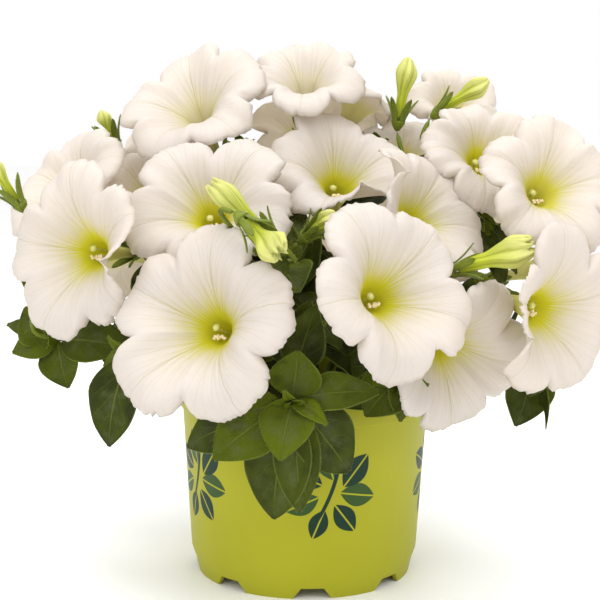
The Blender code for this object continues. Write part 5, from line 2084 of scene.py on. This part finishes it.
@dataclass
class PottingMix:
    """Dark peaty mix with crumbs and grains of perlite."""

    shop: Workshop
    form: PotForm = POT
    crumbs: int = 420
    grains: int = 70
    crumb_size: float = 0.0011
    grain_size: float = 0.0012
    spread: float = 0.055
    crown_radius: float = 0.040
    edge_drop: float = 0.0025
    top_share: float = 0.86
    peat: PlainFinish = PlainFinish(
        "potting mix", (0.030, 0.018, 0.011), (0.085, 0.052, 0.030), 0.95, 1400.0, 0.0012
    )
    perlite: PlainFinish = PlainFinish(
        "perlite", (0.72, 0.70, 0.64), (0.55, 0.52, 0.46), 0.9, 2200.0, 0.0006
    )

    def level(self, radius: float) -> float:
        """The height of the mix at a radius."""
        form, crown = self.form, self.form.soil_crown
        edge = form.wall_top_radius - form.wall - form.gap
        if radius < self.crown_radius:
            return form.soil_top + crown * (1 - 0.5 * radius / self.crown_radius)
        share = (radius - self.crown_radius) / (edge - self.crown_radius)
        return form.soil_top + 0.5 * crown - share * (0.5 * crown + self.edge_drop)

    def bed(self) -> Piece:
        """The mix itself: a rough top, and plain sides and underside within the pot.

        Returns:
            The piece.
        """
        form, top, wall = self.form, self.top_share, self.form.wall + self.form.gap
        edge, floor = form.wall_top_radius - wall, form.floor_z + form.gap
        below = (
            (edge - 0.0001, form.band_z - 0.0012),
            (edge - 0.0001, form.band_z - 0.0012),
            (form.shoulder_radius - wall, form.shoulder_z + 0.0006),
            (form.foot_top_radius - wall, floor),
            (form.foot_top_radius * 0.6, floor),
            (form.foot_top_radius * 0.3, floor),
            (0.001, floor),
            (0.0, floor),
        )

        def point_of(u: float, v: float) -> Vector:
            """A point of the mix, from the middle of its top round to the middle underneath."""
            turn = tau * u
            if v <= top:
                radius = edge * v / top
                flat = Vector((radius * cos(turn), radius * sin(turn), 0.0))
                rough = noise.noise(flat * 240) * 0.0008 + noise.noise(flat * 620) * 0.0005
                return flat + Vector((0, 0, self.level(radius) + rough))
            radius, height = below[round((v - top) / (1 - top) * (len(below) - 1))]
            return Vector((radius * cos(turn), radius * sin(turn), height))

        return self.shop.lay(self.shop.sheet("mix", 96, 50, point_of, closed=True), self.peat)

    def pebbles(self, name: str, count: int, size: float, finish: PlainFinish) -> Piece:
        """Crumbs strewn on the mix, each a knocked-about ball.

        Args:
            name: the piece's name.
            count: how many there are.
            size: about how large they are.
            finish: their finish.

        Returns:
            The piece.
        """
        draw = random.Random(name)
        self.shop.alone()
        bpy.ops.mesh.primitive_ico_sphere_add(subdivisions=1, radius=1.0)
        first = bpy.context.object
        points, faces = [], []
        for _ in range(count):
            reach, turn = self.spread * sqrt(draw.random()), draw.uniform(0, tau)
            middle = Vector((reach * cos(turn), reach * sin(turn), self.level(reach)))
            spin = Matrix.Rotation(draw.uniform(0, tau), 3, shake(draw, 1))
            radius, start = size * draw.uniform(0.5, 1.5), len(points)
            for corner in first.data.vertices:
                bumped = corner.co * radius * draw.uniform(0.7, 1.2)
                bumped.z *= 0.75
                points.append(tuple(middle + spin @ bumped))
            faces += [tuple(start + k for k in face.vertices) for face in first.data.polygons]
        bpy.data.objects.remove(first)
        return self.shop.lay(self.shop.strewn(name, points, faces), finish)

    def build(self) -> Piece:
        """The whole filling as one piece."""
        crumbs = self.pebbles("crumbs", self.crumbs, self.crumb_size, self.peat)
        grains = self.pebbles("grains", self.grains, self.grain_size, self.perlite)
        return self.shop.joined("potting_mix", [self.bed(), crumbs, grains])


@dataclass
class Studio:
    """The pale floor, the soft lights and the camera."""

    lens: float = 74.05
    sensor: float = 36.0
    camera_place: tuple = (0.0, -0.600, 0.2004)
    yaw: float = 0.0047
    pitch: float = 0.113
    roll: float = 0.0078
    aim: tuple = (0.0, 0.0, 0.13)
    floor_size: float = 60.0
    floor: PlainFinish = PlainFinish("studio floor", (0.97, 0.97, 0.97), (0.98, 0.98, 0.98), 0.8, 3.0, 0.0)
    lights: tuple = (
        ("key", (-0.55, -1.10, 0.95), 0.8, 2.4),
        ("fill", (-0.60, -1.15, 0.32), 0.8, 1.6),
        ("side", (0.70, -0.80, 1.05), 0.8, 3.9),
        ("top", (-0.1, -0.15, 1.30), 0.9, 10.4),
        ("rim", (0.2, 1.10, 0.70), 0.9, 3.5),
    )

    def camera(self) -> None:
        """Sets up the camera in front of the plant."""
        made = Workshop.shown("camera", bpy.data.cameras.new("camera"))
        made.data.lens, made.data.sensor_width = self.lens, self.sensor
        made.data.clip_start, made.data.clip_end = 0.01, 100.0
        made.matrix_world = (
            Matrix.Translation(self.camera_place)
            @ Matrix.Rotation(self.yaw, 4, "Z")
            @ Matrix.Rotation(pi / 2 - self.pitch, 4, "X")
            @ Matrix.Rotation(self.roll, 4, "Z")
        )
        bpy.context.scene.camera = made

    def light(self, name: str, place: tuple, size: float, watts: float) -> None:
        """A soft square light that looks at the plant."""
        lamp = bpy.data.lights.new(name, "AREA")
        lamp.size, lamp.energy = size, watts
        made = Workshop.shown(name, lamp)
        made.location = place
        made.rotation_euler = (Vector(self.aim) - Vector(place)).to_track_quat("-Z", "Y").to_euler()

    def build(self, shop: Workshop) -> None:
        """Makes the whole studio.

        Args:
            shop: the workshop that dresses the floor.
        """
        shop.alone()
        bpy.ops.mesh.primitive_plane_add(size=self.floor_size, location=(0, 0, 0))
        floor = bpy.context.object
        floor.name = "studio_floor"
        bpy.ops.object.mode_set(mode="EDIT")
        bpy.ops.mesh.subdivide(number_cuts=2)
        bpy.ops.object.mode_set(mode="OBJECT")
        shop.lay(floor, self.floor)
        for light in self.lights:
            self.light(*light)
        world = bpy.data.worlds.new("studio air")
        world.use_nodes = True
        world.node_tree.nodes["Background"].inputs["Color"].default_value = (1.0, 1.0, 1.0, 1.0)
        world.node_tree.nodes["Background"].inputs["Strength"].default_value = 1.0
        bpy.context.scene.world = world
        bpy.context.scene.view_settings.view_transform = "Standard"
        self.camera()


def main() -> None:
    """Builds and dresses the whole plant over its frame."""
    logging.basicConfig(level=logging.INFO, format="%(message)s")
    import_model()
    Workshop.alone()
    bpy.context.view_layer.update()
    shop, growth = Workshop(), Growth()
    growth.grow()
    for bloom in growth.blooms:
        shop.settle(Flower(shop, bloom).build(), bloom.name, "petal_cream")
        LOG.info("flower %s", bloom.name)
    for bud in growth.buds:
        shop.settle(FurledBud(shop, bud).build(), bud.name, "bud_green")
        LOG.info("bud %s", bud.name)
    for grown in growth.grown:
        shop.settle(Foliage(shop, grown).build(), grown.shoot.name, "leaf_green")
        LOG.info("shoot %s", grown.shoot.name)
    shop.settle(GrowersPot(shop).build(), "pot", "lime_plastic")
    shop.settle(PottingMix(shop).build(), "soil", "potting_mix")
    LOG.info("pot and potting mix")
    Studio().build(shop)


if __name__ == "__main__":
    main()
